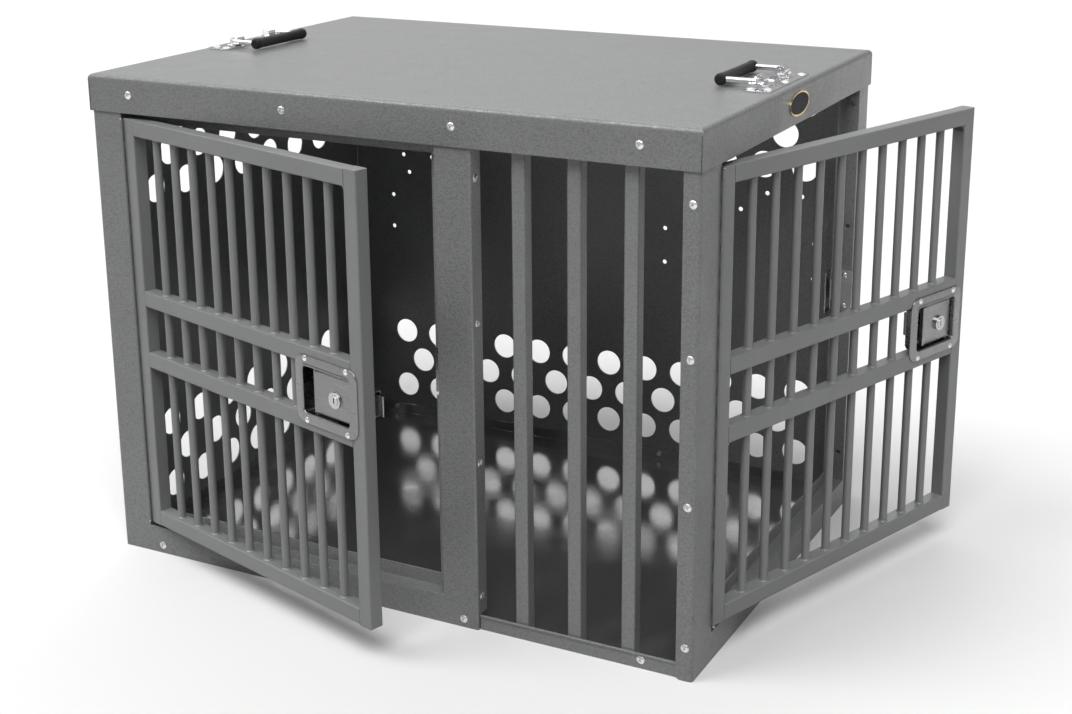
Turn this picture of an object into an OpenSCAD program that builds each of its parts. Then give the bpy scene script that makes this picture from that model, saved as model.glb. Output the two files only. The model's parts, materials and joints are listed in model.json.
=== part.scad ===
// Folded-sheet dog crate with two barred doors, paddle latches and lid handles.
// Origin: centre of the underside. +Z up, front face towards -Y, side door towards +X.

/* [Body] */
// Width along the front
body_w = 762; // [740:1:800]
// Depth front to back
body_d = 550; // [530:1:600]
// Height to the top of the lid
body_h = 593; // [585:1:610]
// Thickness of the folded sheet
sheet_t = 1.6; // [1.2:0.1:1.8]
// Depth of the lid's skirt
lid_skirt = 43; // [38:1:46]
// Outside bend radius along the lid's edges
lid_bend_r = 6; // [4:0.5:8]

/* [Door openings] */
// Front face of the left post, up to the front doorway
left_post_w = 42; // [36:1:46]
// Width of the front doorway
front_opening_w = 419; // [410:1:425]
// Front face of the post between the doorway and the fixed bars
mid_post_w = 44; // [40:1:48]
// Side face of the front corner post, up to the side doorway
side_post_w = 52.5; // [48:0.5:56]
// Width of the side doorway
side_opening_w = 459.5; // [450:0.5:465]
// Height of both sills
sill_h = 34; // [30:1:38]
// Depth of the rebate that a closed door sits in
rebate_d = 18.5; // [18.5:0.5:20]

/* [Doors] */
// How far the front door stands open, in degrees
front_door_open = 16.5; // [0:0.5:120]
// How far the side door stands open, in degrees
side_door_open = 19; // [0:0.5:120]
// Face width of the door tubes
tube_w = 19; // [17:0.5:20]
// Depth of the door tubes
tube_d = 17; // [15:0.5:17]
// Diameter of the round door bars
rod_d = 9.5; // [8:0.5:11]
// Number of bars across a door
rod_count = 10; // [9:1:11]

/* [Fixed bars] */
// Face width of the square fixed bars
fixed_bar_w = 16; // [14:0.5:18]
// Distance between fixed bars, centre to centre
fixed_bar_pitch = 64; // [60:1:66]

/* [Vents] */
// Diameter of the vent holes
vent_d = 35; // [28:1:38]
// Height of the middle row of the lower vent band
vent_low_z = 89; // [85:1:95]
// Height of the middle row of the upper vent band
vent_high_z = 478; // [470:1:485]
// Height between neighbouring rows
vent_row = 42; // [40:1:46]

/* [Handles] */
// Distance of a handle's pivot from the side of the crate
handle_pivot_in = 30; // [28:1:34]
// Reach of the bail, from its pivot to the middle of its grip
bail_reach = 41; // [38:1:50]
// Diameter of the bail wire
bail_wire_d = 6.5; // [5.5:0.5:7]
// Diameter of the grip
grip_d = 13.6; // [12:0.2:14]

/* [Hidden] */
$fn = 48;

// Colours
hammertone = [0.47, 0.48, 0.49];
door_grey = [0.42, 0.43, 0.44];
stainless = [0.72, 0.73, 0.74];
bright = [0.85, 0.85, 0.86];
grip_black = [0.06, 0.06, 0.06];
badge_gold = [0.62, 0.52, 0.30];

// Body
left_x = -body_w / 2;
right_x = body_w / 2;
front_y = -body_d / 2;
back_y = body_d / 2;
lid_over = sheet_t + 0.1;
panel_top = body_h - lid_bend_r - 0.2;
lid_under = body_h - sheet_t - 0.2;
skirt_z = body_h - lid_skirt;
inset = sheet_t + 0.2;
return_w = 20;
pan_lip_h = 16;
corner_r = 4;
fold_r = 2.4;
bar_bay_y = 5.4;
rail_h = 17.5;
rail_y = bar_bay_y - sheet_t;
bar_face_y = bar_bay_y + sheet_t;
fixed_bar_first = 51.4;
fixed_bar_wall = 1.4;
fixed_bar_r = 2;
header_shelf = 40;
sill_hem_h = 2.6;
sill_hem_t = 0.8;
foot_r = 6;

// Doorways, in the door's own frame: u across, v inwards from the outer face
opening_top = skirt_z;
head_lip = 13;
sill_lip = 16;
jamb_lip = 10;
side_latch_lip = 22;
front_latch_lip = 14;
front_open_x = left_x + left_post_w;
mid_post_x = front_open_x + front_opening_w;
surround_end = mid_post_x + mid_post_w;
side_open_y = front_y + side_post_w;
corner_post_w = 19;

// Doors, in the door's own frame: origin on the hinge pin
hinge_gap = 3;
pin_proud = 1.8;
door_low = sill_h + 6;
door_high = opening_top - 6;
door_mid = (door_low + door_high) / 2;
cross_gap = 76;
door_u = hinge_gap / 2;
door_v = pin_proud;
latch_gap = 5;
front_door_w = front_opening_w - hinge_gap - latch_gap;
side_door_w = side_opening_w - hinge_gap - latch_gap;
tube_wall = 1.5;
tube_r = 1.6;

// Hinges
knuckle_r = 2;
pin_r = 1.15;
pin_clear = 0.05;
leaf_t = 1.2;
leaf_depth = 16;
hinge_len = 500;
knuckle_pitch = 12.5;
knuckle_gap = 0.3;
knuckle_pairs = hinge_len / knuckle_pitch / 2;
hinge_low = door_mid - hinge_len / 2;

// Latch, measured from the middle of its dish
latch_from_edge = 58.5;
dish_w = 101;
dish_h = 78;
dish_t = 1.6;
dish_r = 13;
cup_w = 75.6;
cup_h = 52.6;
cup_wall = 1.2;
cup_r = 5;
cup_floor_v = door_v + 14.3;
latch_rivet_u = 33.5;
latch_rivet_z = 35;
paddle_pivot_u = 32.5;
paddle_pivot_v = door_v + 6.5;
paddle_left_u = -22;
paddle_h = 47;
paddle_t = 2;
paddle_barrel_r = 4;
paddle_bore_r = 2.06;
paddle_pin_r = 2;
spring_wire = 1;
spring_turns = 5;
spring_low = 12.5;
spring_leg = 12;
spring_bay = [11.4, 18.6];
spring_bay_r = 3.6;
paddle_lip_w = 9;
paddle_lip_bend = 1.6;
paddle_arm_t = 3;
paddle_arm_reach = 15.5;
collar_t = 3;
nut_t = 2;
lock_u = 12;
lock_z = -2;
lock_r = 9;
plug_r = 5.6;
lock_back_v = door_v + 11.5;
bolt_v = [door_v + 18.7, door_v + 24.3];
bolt_h = 22;
bolt_reach = 10;
bolt_tail = -12;
bolt_bevel = 5;
case_v = [door_v + 17.1, door_v + 25.8];
case_h = 28;
case_left = -26;
case_wall = 1;
arm_slot_h = 16;
arm_slot_u = [-10.5, 4];
arm_h = 12;

// Strikes: a is the depth from the outer face, b the distance into the doorway
strike_h = 54;
strike_t = 1.2;
strike_depth = 28.2;
strike_slot = [18, 25.4];
strike_slot_h = 26;
strike_lip = 20;
strike_rivet_z = 20;

// Handles
handle_plate_t = 1.8;
handle_plate_l = 140;
handle_plate_in = 8;
handle_plate_w = 32;
pivot_z = body_h + 8;
bail_half = 47;
grip_half = 53;
bail_corner_r = 6;
stub_len = 21;
loop_y = 33.5;
loop_len = 15;
loop_r = pivot_z - body_h - handle_plate_t;
bail_wire_r = bail_wire_d / 2;

// Fasteners
rivet_head_r = 4.75;
rivet_head_h = 1.8;
rivet_shank_r = 2.4;
rivet_tail_r = 3.2;
small_rivet_head_r = 3.6;
small_rivet_head_h = 1.5;

// Badge
badge_size = [62, 27];
badge_t = 1.2;
badge_y = 3;

// Vent pattern
back_vent_pitch = 55;
left_vent_pitch = 59;
accessory_hole_d = 6;
jamb_hole_z = [73.5, 246, 376, 530.5];
jamb_hole_v = 8;
accessory_holes = [for (s = [-1, 1]) each [
    [s * 319, 290], [s * 319, 337], [s * 291, 373], [s * 300, 398], [s * 253, 398],
    [s * 217, 373], [s * 110, 288], [s * 110, 335]]];

// Rivet places: [x, y, z]
lid_rivet_x = [for (i = [0:3]) left_x + 56 + i * 213.4];
header_rivet_x = lid_rivet_x[3];
lid_rivet_z = body_h - lid_skirt / 2;
post_rivet_z = [for (i = [0:3]) 38 + i * 159.6];
pan_rivet_z = 10;
front_strip_rivet_x = [left_x + 59, surround_end - 19];
sill_rivet_x = right_x - 61;
back_rivet_x = [-322, -107, 107, 322];
side_rivet_y = [-215, 0, 215];

// ---------------------------------------------------------------- helpers

// Flat L of sheet: leg a along X, leg b along Y, rounded outer corner at the origin
module angle_profile(a, b, r, t = sheet_t) {
    translate([r, 0]) square([a - r, t]);
    translate([0, r]) square([t, b - r]);
    intersection() {
        translate([r, r]) difference() {
            circle(r);
            circle(r - t);
        }
        square(r);
    }
}

// Rectangle centred on the origin with round corners
module round_rect(w, h, r) {
    square([w - 2 * r, h], center = true);
    square([w, h - 2 * r], center = true);
    for (x = [-1, 1], y = [-1, 1]) translate([x * (w / 2 - r), y * (h / 2 - r)]) circle(r);
}

// Rivet with its head at the origin facing +Z, its shank and formed tail below
module rivet(grip = 3.4, head_r = rivet_head_r, head_h = rivet_head_h, tail = true) {
    mandrel_r = head_r * 0.32;
    dome_r = (head_r * head_r + head_h * head_h) / (2 * head_h);
    difference() {
        intersection() {
            translate([0, 0, head_h - dome_r]) sphere(dome_r, $fn = 64);
            cylinder(h = head_h + 1, r = head_r);
        }
        translate([0, 0, head_h - 0.9]) cylinder(h = 2, r = mandrel_r);
    }
    translate([0, 0, -grip]) cylinder(h = grip, r = rivet_shank_r);
    if (tail) translate([0, 0, -grip - 2]) cylinder(h = 2, r = rivet_tail_r);
}

module rivet_hole(depth) {
    translate([0, 0, -depth]) cylinder(h = depth + 1, r = rivet_shank_r + 0.05);
}

// Places that face each way: rot turns +Z to the outward direction
module facing_front() rotate([90, 0, 0]) children();
module facing_back() rotate([-90, 0, 0]) children();
module facing_left() rotate([0, -90, 0]) children();
module facing_right() rotate([0, 90, 0]) children();

// Three staggered rows of holes, cut along +Z of a plate lying in XY
module vent_band(pitch, count, z) {
    for (row = [-1:1]) {
        n = row == 0 ? count - 1 : count;
        for (i = [0:n - 1]) translate([(i - (n - 1) / 2) * pitch, z + row * vent_row])
            circle(d = vent_d);
    }
}

// ---------------------------------------------------------------- rivet sets

module at_lid_rivets() {
    for (i = [0:2]) translate([lid_rivet_x[i], front_y - lid_over, lid_rivet_z])
        facing_front() children();
    for (x = lid_rivet_x) translate([-x, back_y + lid_over, lid_rivet_z])
        facing_back() children();
}

module at_header_rivet() {
    translate([header_rivet_x, front_y - lid_over, lid_rivet_z]) facing_front() children();
}

module at_front_strip_rivets() {
    for (x = front_strip_rivet_x) translate([x, front_y, pan_rivet_z]) facing_front() children();
}

module at_mid_post_rivets() {
    for (z = post_rivet_z) translate([surround_end, front_y + 10, z]) facing_right() children();
}

module at_corner_post_rivets() {
    for (z = post_rivet_z) translate([right_x - 9, front_y, z]) facing_front() children();
}

module at_sill_rivet() {
    translate([sill_rivet_x, front_y + rail_y, pan_rivet_z]) facing_front() children();
}

module at_back_rivets() {
    for (x = back_rivet_x) translate([x, back_y, pan_rivet_z]) facing_back() children();
}

module at_left_rivets() {
    for (y = side_rivet_y) translate([left_x + inset, y, pan_rivet_z]) facing_left() children();
}

module at_left_edge_rivets() {
    for (z = post_rivet_z, y = [front_y + 11, back_y - 11])
        translate([left_x, y, z]) facing_left() children();
}

module at_rear_corner_rivets() {
    for (z = post_rivet_z) translate([right_x - 11, back_y, z]) facing_back() children();
}

// ---------------------------------------------------------------- root: sheet metal

module floor_pan() color(door_grey) {
    x0 = left_x + inset + sheet_t + 0.2;
    x1 = right_x - inset;
    y0 = front_y + bar_bay_y;
    y1 = back_y - inset;
    lip_end = right_x - return_w - 1;
    difference() {
        union() {
            translate([x0, y0, 0]) cube([x1 - x0, y1 - y0, sheet_t]);
            translate([x0, y0, 0]) cube([sheet_t, y1 - y0, pan_lip_h]);
            translate([x1 - sheet_t, y0, 0]) cube([sheet_t, y1 - y0 - return_w, pan_lip_h]);
            translate([x0, y0, 0]) cube([lip_end - x0, sheet_t, pan_lip_h]);
            translate([x0, y1 - sheet_t, 0]) cube([lip_end - x0, sheet_t, pan_lip_h]);
        }
        translate([lip_end, y1 - sheet_t - 0.2, -1]) cube([return_w + 2, 4, pan_lip_h + 2]);
        at_front_strip_rivets() rivet_hole(12);
        at_sill_rivet() rivet_hole(6);
        at_back_rivets() rivet_hole(6);
        at_left_rivets() rivet_hole(6);
    }
}

module back_panel() color(hammertone) {
    difference() {
        translate([left_x, back_y, 0]) mirror([0, 1, 0]) linear_extrude(panel_top)
            angle_profile(body_w - inset, return_w, corner_r);
        translate([0, back_y + 1, 0]) facing_front() linear_extrude(4) {
            vent_band(back_vent_pitch, 12, vent_low_z);
            vent_band(back_vent_pitch, 12, vent_high_z);
            for (p = accessory_holes) translate(p) circle(d = accessory_hole_d);
        }
        at_back_rivets() rivet_hole(6);
        at_left_edge_rivets() rivet_hole(6);
        at_rear_corner_rivets() rivet_hole(6);
        at_lid_rivets() rivet_hole(6);
    }
}

module left_panel() color(hammertone) {
    len = body_d - 2 * (inset + 3);
    difference() {
        translate([left_x + inset, -len / 2, 0]) cube([sheet_t, len, panel_top]);
        translate([left_x, 0, 0]) rotate([90, 0, 90]) linear_extrude(6) {
            vent_band(left_vent_pitch, 7, vent_low_z);
            vent_band(left_vent_pitch, 7, vent_high_z);
        }
        at_left_rivets() rivet_hole(6);
        at_left_edge_rivets() rivet_hole(6);
    }
}

// Rebate around a doorway: open_w wide, its corner at the origin, u along X, v along Y.
// lips are [hinge side, latch side]; the latch side is notched for the strike.
module rebate(open_w, lips) {
    t = sheet_t;
    high = opening_top;
    back = rebate_d;
    for (z = [sill_h - t, high]) translate([-t, t, z]) cube([open_w + 2 * t, back - t, t]);
    translate([-t, t, sill_h]) cube([t, back - t, high - sill_h]);
    translate([open_w, t, sill_h]) cube([t, back - t, high - sill_h]);
    translate([-t, back, sill_h - t]) cube([open_w + 2 * t, t, sill_lip + t]);
    translate([-t, back, high - head_lip]) cube([open_w + 2 * t, t, head_lip + t]);
    translate([-t, back, sill_h]) cube([lips[0] + t, t, high - sill_h]);
    translate([open_w - lips[1], back, sill_h]) cube([lips[1] + t, t, high - sill_h]);
}

// Cut for the strike's pocket in the latch side of a rebate
module strike_notch(open_w) {
    translate([open_w - 30, rebate_d - 1, door_mid - strike_h / 2 - 0.4])
        cube([30 + 2 * sheet_t, sheet_t + 3, strike_h + 0.8]);
}

// Moves from the door's frame to the front doorway's corner, and to the side doorway's
module at_front_doorway() translate([front_open_x, front_y, 0]) children();
module at_side_doorway() translate([right_x, side_open_y, 0]) rotate([0, 0, 90]) children();

module front_surround() color(hammertone) {
    full = surround_end - left_x;
    difference() {
        union() {
            difference() {
                translate([left_x, front_y, 0]) linear_extrude(panel_top)
                    angle_profile(full - fold_r, return_w, corner_r);
                translate([front_open_x, front_y - 1, sill_h])
                    cube([front_opening_w, sheet_t + 2, opening_top - sill_h]);
            }
            translate([surround_end, front_y, 0]) mirror([1, 0, 0]) {
                linear_extrude(rail_h + 0.5) angle_profile(fold_r + 1, fold_r + 0.5, fold_r);
                translate([0, 0, rail_h + 0.5]) linear_extrude(panel_top - rail_h - 0.5)
                    angle_profile(fold_r + 1, return_w, fold_r);
            }
            at_front_doorway() rebate(front_opening_w, [jamb_lip, front_latch_lip]);
        }
        at_front_doorway() strike_notch(front_opening_w);
        at_front_strip_rivets() rivet_hole(6);
        at_mid_post_rivets() rivet_hole(6);
        at_left_edge_rivets() rivet_hole(6);
        at_lid_rivets() rivet_hole(6);
        at_front_doorway() at_strike_rivets(front_opening_w) rivet_hole(6);
    }
}

module side_surround() color(hammertone) {
    difference() {
        union() {
            difference() {
                translate([right_x, front_y, 0]) mirror([1, 0, 0]) linear_extrude(panel_top)
                    angle_profile(corner_post_w, body_d - inset - fold_r, corner_r);
                translate([right_x - sheet_t - 1, side_open_y, sill_h])
                    cube([sheet_t + 2, side_opening_w, opening_top - sill_h]);
                translate([right_x - corner_post_w, front_y - 1, 0]) foot_round(foot_r);
            }
            translate([right_x, back_y - inset, 0]) rotate([0, 0, 180]) linear_extrude(panel_top)
                angle_profile(return_w, fold_r + inset, fold_r);
            at_side_doorway() rebate(side_opening_w, [jamb_lip, side_latch_lip]);
        }
        at_side_doorway() {
            strike_notch(side_opening_w);
            for (z = jamb_hole_z) translate([side_opening_w - 1, jamb_hole_v, z])
                rotate([0, 90, 0]) cylinder(h = sheet_t + 2, d = accessory_hole_d);
        }
        at_corner_post_rivets() rivet_hole(6);
        at_rear_corner_rivets() rivet_hole(6);
        at_lid_rivets() rivet_hole(6);
        at_side_doorway() at_strike_rivets(side_opening_w) rivet_hole(6);
    }
}

// Removes a square corner at the foot of a post, leaving radius r
module foot_round(r) {
    facing_front() mirror([0, 0, 1]) linear_extrude(sheet_t + 2) difference() {
        translate([-1, -1]) square([r + 1, r + 1]);
        translate([r, r]) circle(r);
    }
}

module lid() color(hammertone) {
    w = body_w + 2 * lid_over;
    d = body_d + 2 * lid_over;
    difference() {
        lid_block(w, d, lid_skirt, lid_bend_r, 0);
        translate([0, 0, -1]) lid_block(w - 2 * sheet_t, d - 2 * sheet_t, lid_skirt,
            lid_bend_r - sheet_t, 1 - sheet_t);
        at_lid_rivets() rivet_hole(6);
        at_header_rivet() rivet_hole(6);
    }
}

// Block under the lid's top with its four upper edges rounded
module lid_block(w, d, h, r, lift) {
    translate([0, 0, body_h - h]) intersection() {
        rotate([90, 0, 0]) linear_extrude(d, center = true) arched(w, h + lift, r);
        rotate([90, 0, 90]) linear_extrude(w, center = true) arched(d, h + lift, r);
    }
}

// Outline with its two upper corners rounded
module arched(w, h, r) {
    translate([-w / 2, 0]) square([w, h - r]);
    translate([-w / 2 + r, 0]) square([w - 2 * r, h]);
    for (x = [-1, 1]) translate([x * (w / 2 - r), h - r]) circle(r);
}

module front_header() color(hammertone) {
    x0 = surround_end + 1;
    x1 = right_x - corner_post_w - 1;
    y0 = front_y + bar_bay_y;
    difference() {
        union() {
            translate([x0, y0, skirt_z + 3]) cube([x1 - x0, sheet_t, lid_under - skirt_z - 3]);
            translate([x0, y0, lid_under - sheet_t]) cube([x1 - x0, header_shelf, sheet_t]);
        }
        at_header_rivet() rivet_hole(12);
    }
}

module fixed_bar(i) color(hammertone) {
    x = surround_end + fixed_bar_first + i * fixed_bar_pitch;
    w = fixed_bar_w;
    high = lid_under - sheet_t;
    bore = w - 2 * fixed_bar_wall;
    translate([x, front_y + bar_face_y + w / 2, sheet_t]) difference() {
        linear_extrude(high - sheet_t) round_rect(w, w, fixed_bar_r);
        translate([0, 0, -1]) linear_extrude(high + 2)
            round_rect(bore, bore, fixed_bar_r - fixed_bar_wall + 0.2);
    }
}
module front_bar_left() fixed_bar(0);
module front_bar_middle() fixed_bar(1);
module front_bar_right() fixed_bar(2);

// Outer rail under the fixed bars, with its top edge folded over
module front_sill_rail() color(hammertone) {
    x0 = surround_end + 0.3;
    x1 = right_x - corner_post_w - 0.3;
    difference() {
        union() {
            translate([x0, front_y + rail_y, 0]) cube([x1 - x0, sheet_t, rail_h]);
            translate([x0, front_y + rail_y - sill_hem_t, rail_h - sill_hem_h])
                cube([x1 - x0, sill_hem_t, sill_hem_h]);
        }
        at_sill_rivet() rivet_hole(6);
    }
}

// ---------------------------------------------------------------- strikes

module at_strike_rivets(open_w) {
    for (z = [-1, 1]) translate([open_w - strike_t, 9, door_mid + z * strike_rivet_z])
        rotate([0, -90, 0]) children();
}

// Folded strike in the doorway's frame: plate on the jamb, pocket behind it, face leg
module strike(open_w, face_leg) {
    low = door_mid - strike_h / 2;
    difference() {
        translate([0, 0, low]) linear_extrude(strike_h) {
            translate([open_w - strike_t, -face_leg[1]])
                square([strike_t, strike_depth + face_leg[1]]);
            translate([open_w - strike_lip, strike_depth - strike_t]) square([strike_lip, strike_t]);
            if (face_leg[0] > 0) translate([open_w - strike_t, -strike_t])
                square([face_leg[0] + strike_t, strike_t]);
        }
        translate([open_w - 3, strike_slot[0], door_mid - strike_slot_h / 2])
            cube([6, strike_slot[1] - strike_slot[0], strike_slot_h]);
        at_strike_rivets(open_w) rivet_hole(6);
    }
}
module front_strike() color(stainless) at_front_doorway() strike(front_opening_w, [0, -1]);
module side_strike() color(stainless) at_side_doorway() strike(side_opening_w, [16, strike_t]);

// ---------------------------------------------------------------- hinges

// Knuckles first, first+2, ... of a piano hinge around the pin at the origin
module knuckles(first) {
    for (i = [0:knuckle_pairs - 1])
        translate([0, 0, hinge_low + (2 * i + first) * knuckle_pitch + knuckle_gap / 2]) children();
}

// Leaf on side s of the pin (-1 frame, 1 door), lying inwards along +Y
module hinge_leaf(s, first) {
    h = knuckle_pitch - knuckle_gap;
    root_x = s > 0 ? knuckle_gap : -knuckle_gap - leaf_t;
    plate_y = knuckle_r + 0.3;
    translate([root_x, plate_y, hinge_low]) cube([leaf_t, leaf_depth - plate_y, hinge_len]);
    difference() {
        union() {
            knuckles(first) cylinder(h = h, r = knuckle_r);
            knuckles(first) translate([root_x, 0, 0]) cube([leaf_t, plate_y + 0.5, h]);
        }
        translate([0, 0, hinge_low - 1]) cylinder(h = hinge_len + 2, r = pin_r + pin_clear);
    }
}

module hinge_pin() {
    translate([0, 0, hinge_low - 1]) cylinder(h = hinge_len + 2, r = pin_r);
    for (z = [hinge_low - 2, hinge_low + hinge_len + 1]) translate([0, 0, z])
        cylinder(h = 1, r = pin_r + 0.6);
}

module at_front_pin()
    translate([front_open_x + hinge_gap / 2, front_y - pin_proud, 0]) children();
module at_side_pin()
    translate([right_x + pin_proud, side_open_y + hinge_gap / 2, 0]) rotate([0, 0, 90]) children();

module front_hinge_frame_leaf() color(bright) at_front_pin() hinge_leaf(-1, 0);
module side_hinge_frame_leaf() color(bright) at_side_pin() hinge_leaf(-1, 0);
module front_hinge_pin() color(stainless) at_front_pin() hinge_pin();
module side_hinge_pin() color(stainless) at_side_pin() hinge_pin();

// ---------------------------------------------------------------- doors

module at_front_door() at_front_pin() rotate([0, 0, -front_door_open]) children();
module at_side_door() at_side_pin() rotate([0, 0, -side_door_open]) children();

// Closed hollow tube between two corners, w along X, h along Z
module door_tube(x, z, w, h) {
    translate([x, door_v, z]) difference() {
        translate([w / 2, tube_d / 2, 0]) linear_extrude(h) round_rect(w, tube_d, tube_r);
        translate([tube_wall, tube_wall, tube_wall])
            cube([w - 2 * tube_wall, tube_d - 2 * tube_wall, h - 2 * tube_wall]);
    }
}

// Rail between the stiles; its front and back edges are rounded
module door_rail(w, z, h = tube_w) {
    len = w - 2 * tube_w;
    translate([door_u + tube_w, door_v, z]) difference() {
        translate([0, tube_d / 2, h / 2]) rotate([90, 0, 90]) linear_extrude(len)
            round_rect(tube_d, h, tube_r);
        translate([tube_wall, tube_wall, tube_wall])
            cube([len - 2 * tube_wall, tube_d - 2 * tube_wall, h - 2 * tube_wall]);
    }
}

module hinge_stile() door_tube(door_u, door_low, tube_w, door_high - door_low);
module latch_stile(w)
    door_tube(door_u + w - tube_w, door_low, tube_w, door_high - door_low);

module top_rail(w) {
    r = 7;
    door_rail(w, door_high - tube_w);
    for (s = [0, 1]) translate([s ? door_u + w - tube_w : door_u + tube_w, 0, door_high - tube_w])
        mirror([s, 0, 0]) corner_gusset(s ? r : 2);
}

// Small web that rounds the inside corner below the top rail
module corner_gusset(r) {
    translate([0, door_v + tube_d - tube_r, 0]) facing_front() linear_extrude(tube_d - 2 * tube_r)
        difference() {
            translate([0, -r]) square(r);
            translate([r, -r]) circle(r);
        }
}

module bottom_rail(w) door_rail(w, door_low);
module upper_cross_rail(w) door_rail(w, door_mid + cross_gap / 2 - tube_w / 2);
module lower_cross_rail(w) door_rail(w, door_mid - cross_gap / 2 - tube_w / 2);

// Round bars in three bands; the middle band stops short of the latch
module door_bars(w) {
    pitch = (w - 2 * tube_w) / (rod_count + 1);
    latch_left = door_u + w - latch_from_edge - dish_w / 2;
    bands = [[door_low + tube_w, door_mid - cross_gap / 2 - tube_w / 2],
        [door_mid - cross_gap / 2 + tube_w / 2, door_mid + cross_gap / 2 - tube_w / 2],
        [door_mid + cross_gap / 2 + tube_w / 2, door_high - tube_w]];
    for (b = [0:2], i = [1:rod_count]) {
        u = door_u + tube_w + i * pitch;
        if (b != 1 || u + rod_d / 2 < latch_left)
            translate([u, door_v + tube_d / 2, bands[b][0]])
                cylinder(h = bands[b][1] - bands[b][0], d = rod_d);
    }
}

// ---------------------------------------------------------------- latch

function latch_u(w) = door_u + w - latch_from_edge;
module at_latch(w) translate([latch_u(w), 0, door_mid]) children();
module at_latch_rivets() {
    for (x = [-1, 1], z = [-1, 1])
        translate([x * latch_rivet_u, door_v - dish_t, z * latch_rivet_z]) facing_front() children();
}

// Extrudes a front-view outline from depth v0 to v1
module slab(v0, v1) translate([0, v1, 0]) facing_front() linear_extrude(v1 - v0) children();

module latch_dish(w) at_latch(w) difference() {
    union() {
        slab(door_v - dish_t, door_v) round_rect(dish_w, dish_h, dish_r);
        slab(door_v - dish_t - 0.8, door_v) round_rect(cup_w + 6, cup_h + 6, cup_r + 3);
        slab(door_v - 0.5, cup_floor_v + cup_wall)
            round_rect(cup_w + 2 * cup_wall, cup_h + 2 * cup_wall, cup_r + cup_wall);
    }
    slab(door_v - dish_t - 2, cup_floor_v) round_rect(cup_w, cup_h, cup_r);
    arm_slot(cup_floor_v - 1, cup_floor_v + cup_wall + 1);
    at_latch_rivets() rivet_hole(6);
    translate([paddle_pivot_u, paddle_pivot_v, 0])
        cylinder(h = cup_h + 2 * cup_wall - 0.8, r = paddle_pin_r, center = true);
}

// Opening that the paddle's arm passes through
module arm_slot(v0, v1) {
    translate([paddle_pivot_u + arm_slot_u[0], v0, -arm_slot_h / 2])
        cube([arm_slot_u[1] - arm_slot_u[0], v1 - v0, arm_slot_h]);
}

module latch_case(w) at_latch(w) {
    right = latch_from_edge - 1.5;
    long = right - case_left;
    difference() {
        translate([case_left, case_v[0], -case_h / 2])
            cube([long, case_v[1] - case_v[0], case_h]);
        translate([case_left + case_wall, case_v[0] + case_wall, -case_h / 2 + case_wall])
            cube([long, case_v[1] - case_v[0] - 2 * case_wall, case_h - 2 * case_wall]);
        arm_slot(case_v[0] - 1, case_v[0] + case_wall + 0.5);
    }
}

module latch_rivets(w) at_latch(w) at_latch_rivets()
    rivet(dish_t, small_rivet_head_r, small_rivet_head_h, false);

module paddle_pin(w) at_latch(w) translate([paddle_pivot_u, paddle_pivot_v, 0])
    cylinder(h = cup_h + 2 * cup_wall - 0.8, r = paddle_pin_r, center = true);

// Return spring on the pin: turns of wire with one leg resting on the cup's floor
module paddle_spring(w) at_latch(w) translate([paddle_pivot_u, paddle_pivot_v, spring_low]) {
    coil_r = paddle_pin_r + 0.3 + spring_wire / 2;
    rotate_extrude() for (i = [0:spring_turns - 1]) translate([coil_r, i * spring_wire * 0.95])
        circle(d = spring_wire);
    translate([0, coil_r - 0.1, 0]) rotate([0, -90, -21])
        cylinder(h = spring_leg, d = spring_wire);
}

// Paddle: bent plate on a barrel, with an arm behind the pivot that draws the bolt
module paddle(w) at_latch(w) {
    z0 = -paddle_h / 2;
    face_v = paddle_pivot_v - paddle_barrel_r;
    bend_u = paddle_left_u + paddle_lip_w;
    lip_v = face_v - paddle_lip_bend;
    bay_h = spring_bay[1] - spring_bay[0];
    difference() {
        union() {
            translate([0, 0, z0]) linear_extrude(paddle_h) {
                polygon([[bend_u, face_v], [paddle_pivot_u, face_v],
                    [paddle_pivot_u, face_v + paddle_t], [bend_u, face_v + paddle_t],
                    [paddle_left_u, lip_v + paddle_t], [paddle_left_u, lip_v]]);
                translate([paddle_pivot_u, paddle_pivot_v]) circle(paddle_barrel_r);
            }
            translate([paddle_pivot_u - paddle_arm_t / 2, paddle_pivot_v, -arm_h / 2])
                cube([paddle_arm_t, paddle_arm_reach, arm_h]);
        }
        translate([paddle_pivot_u, paddle_pivot_v, z0 - 1])
            cylinder(h = paddle_h + 2, r = paddle_bore_r);
        translate([paddle_pivot_u - 6, face_v + paddle_t, spring_bay[0]]) cube([12, 12, bay_h]);
        translate([paddle_pivot_u - 0.5, face_v - 1, spring_bay[0]]) cube([8, 12, bay_h]);
        translate([paddle_pivot_u, paddle_pivot_v, spring_bay[0]])
            cylinder(h = bay_h, r = spring_bay_r);
        slab(-4, lock_back_v + 1) translate([lock_u, lock_z]) circle(lock_r - 2);
    }
}

// Lock body: collar in front of the paddle, barrel through it
module lock_cylinder(w) at_latch(w) {
    face_v = paddle_pivot_v - paddle_barrel_r;
    difference() {
        union() {
            slab(face_v - collar_t, face_v) translate([lock_u, lock_z]) circle(lock_r);
            slab(face_v, lock_back_v) translate([lock_u, lock_z]) circle(lock_r - 2);
            slab(face_v + paddle_t, face_v + paddle_t + nut_t) translate([lock_u, lock_z])
                circle(lock_r);
        }
        slab(face_v - 4, lock_back_v - 1) translate([lock_u, lock_z]) circle(plug_r + 0.06);
    }
}

module lock_plug(w) at_latch(w) {
    face_v = paddle_pivot_v - paddle_barrel_r - 3.6;
    difference() {
        slab(face_v, lock_back_v - 1.2) translate([lock_u, lock_z]) circle(plug_r);
        slab(face_v - 1, face_v + 7) translate([lock_u, lock_z]) round_rect(1.8, 7, 0.8);
    }
}

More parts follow.
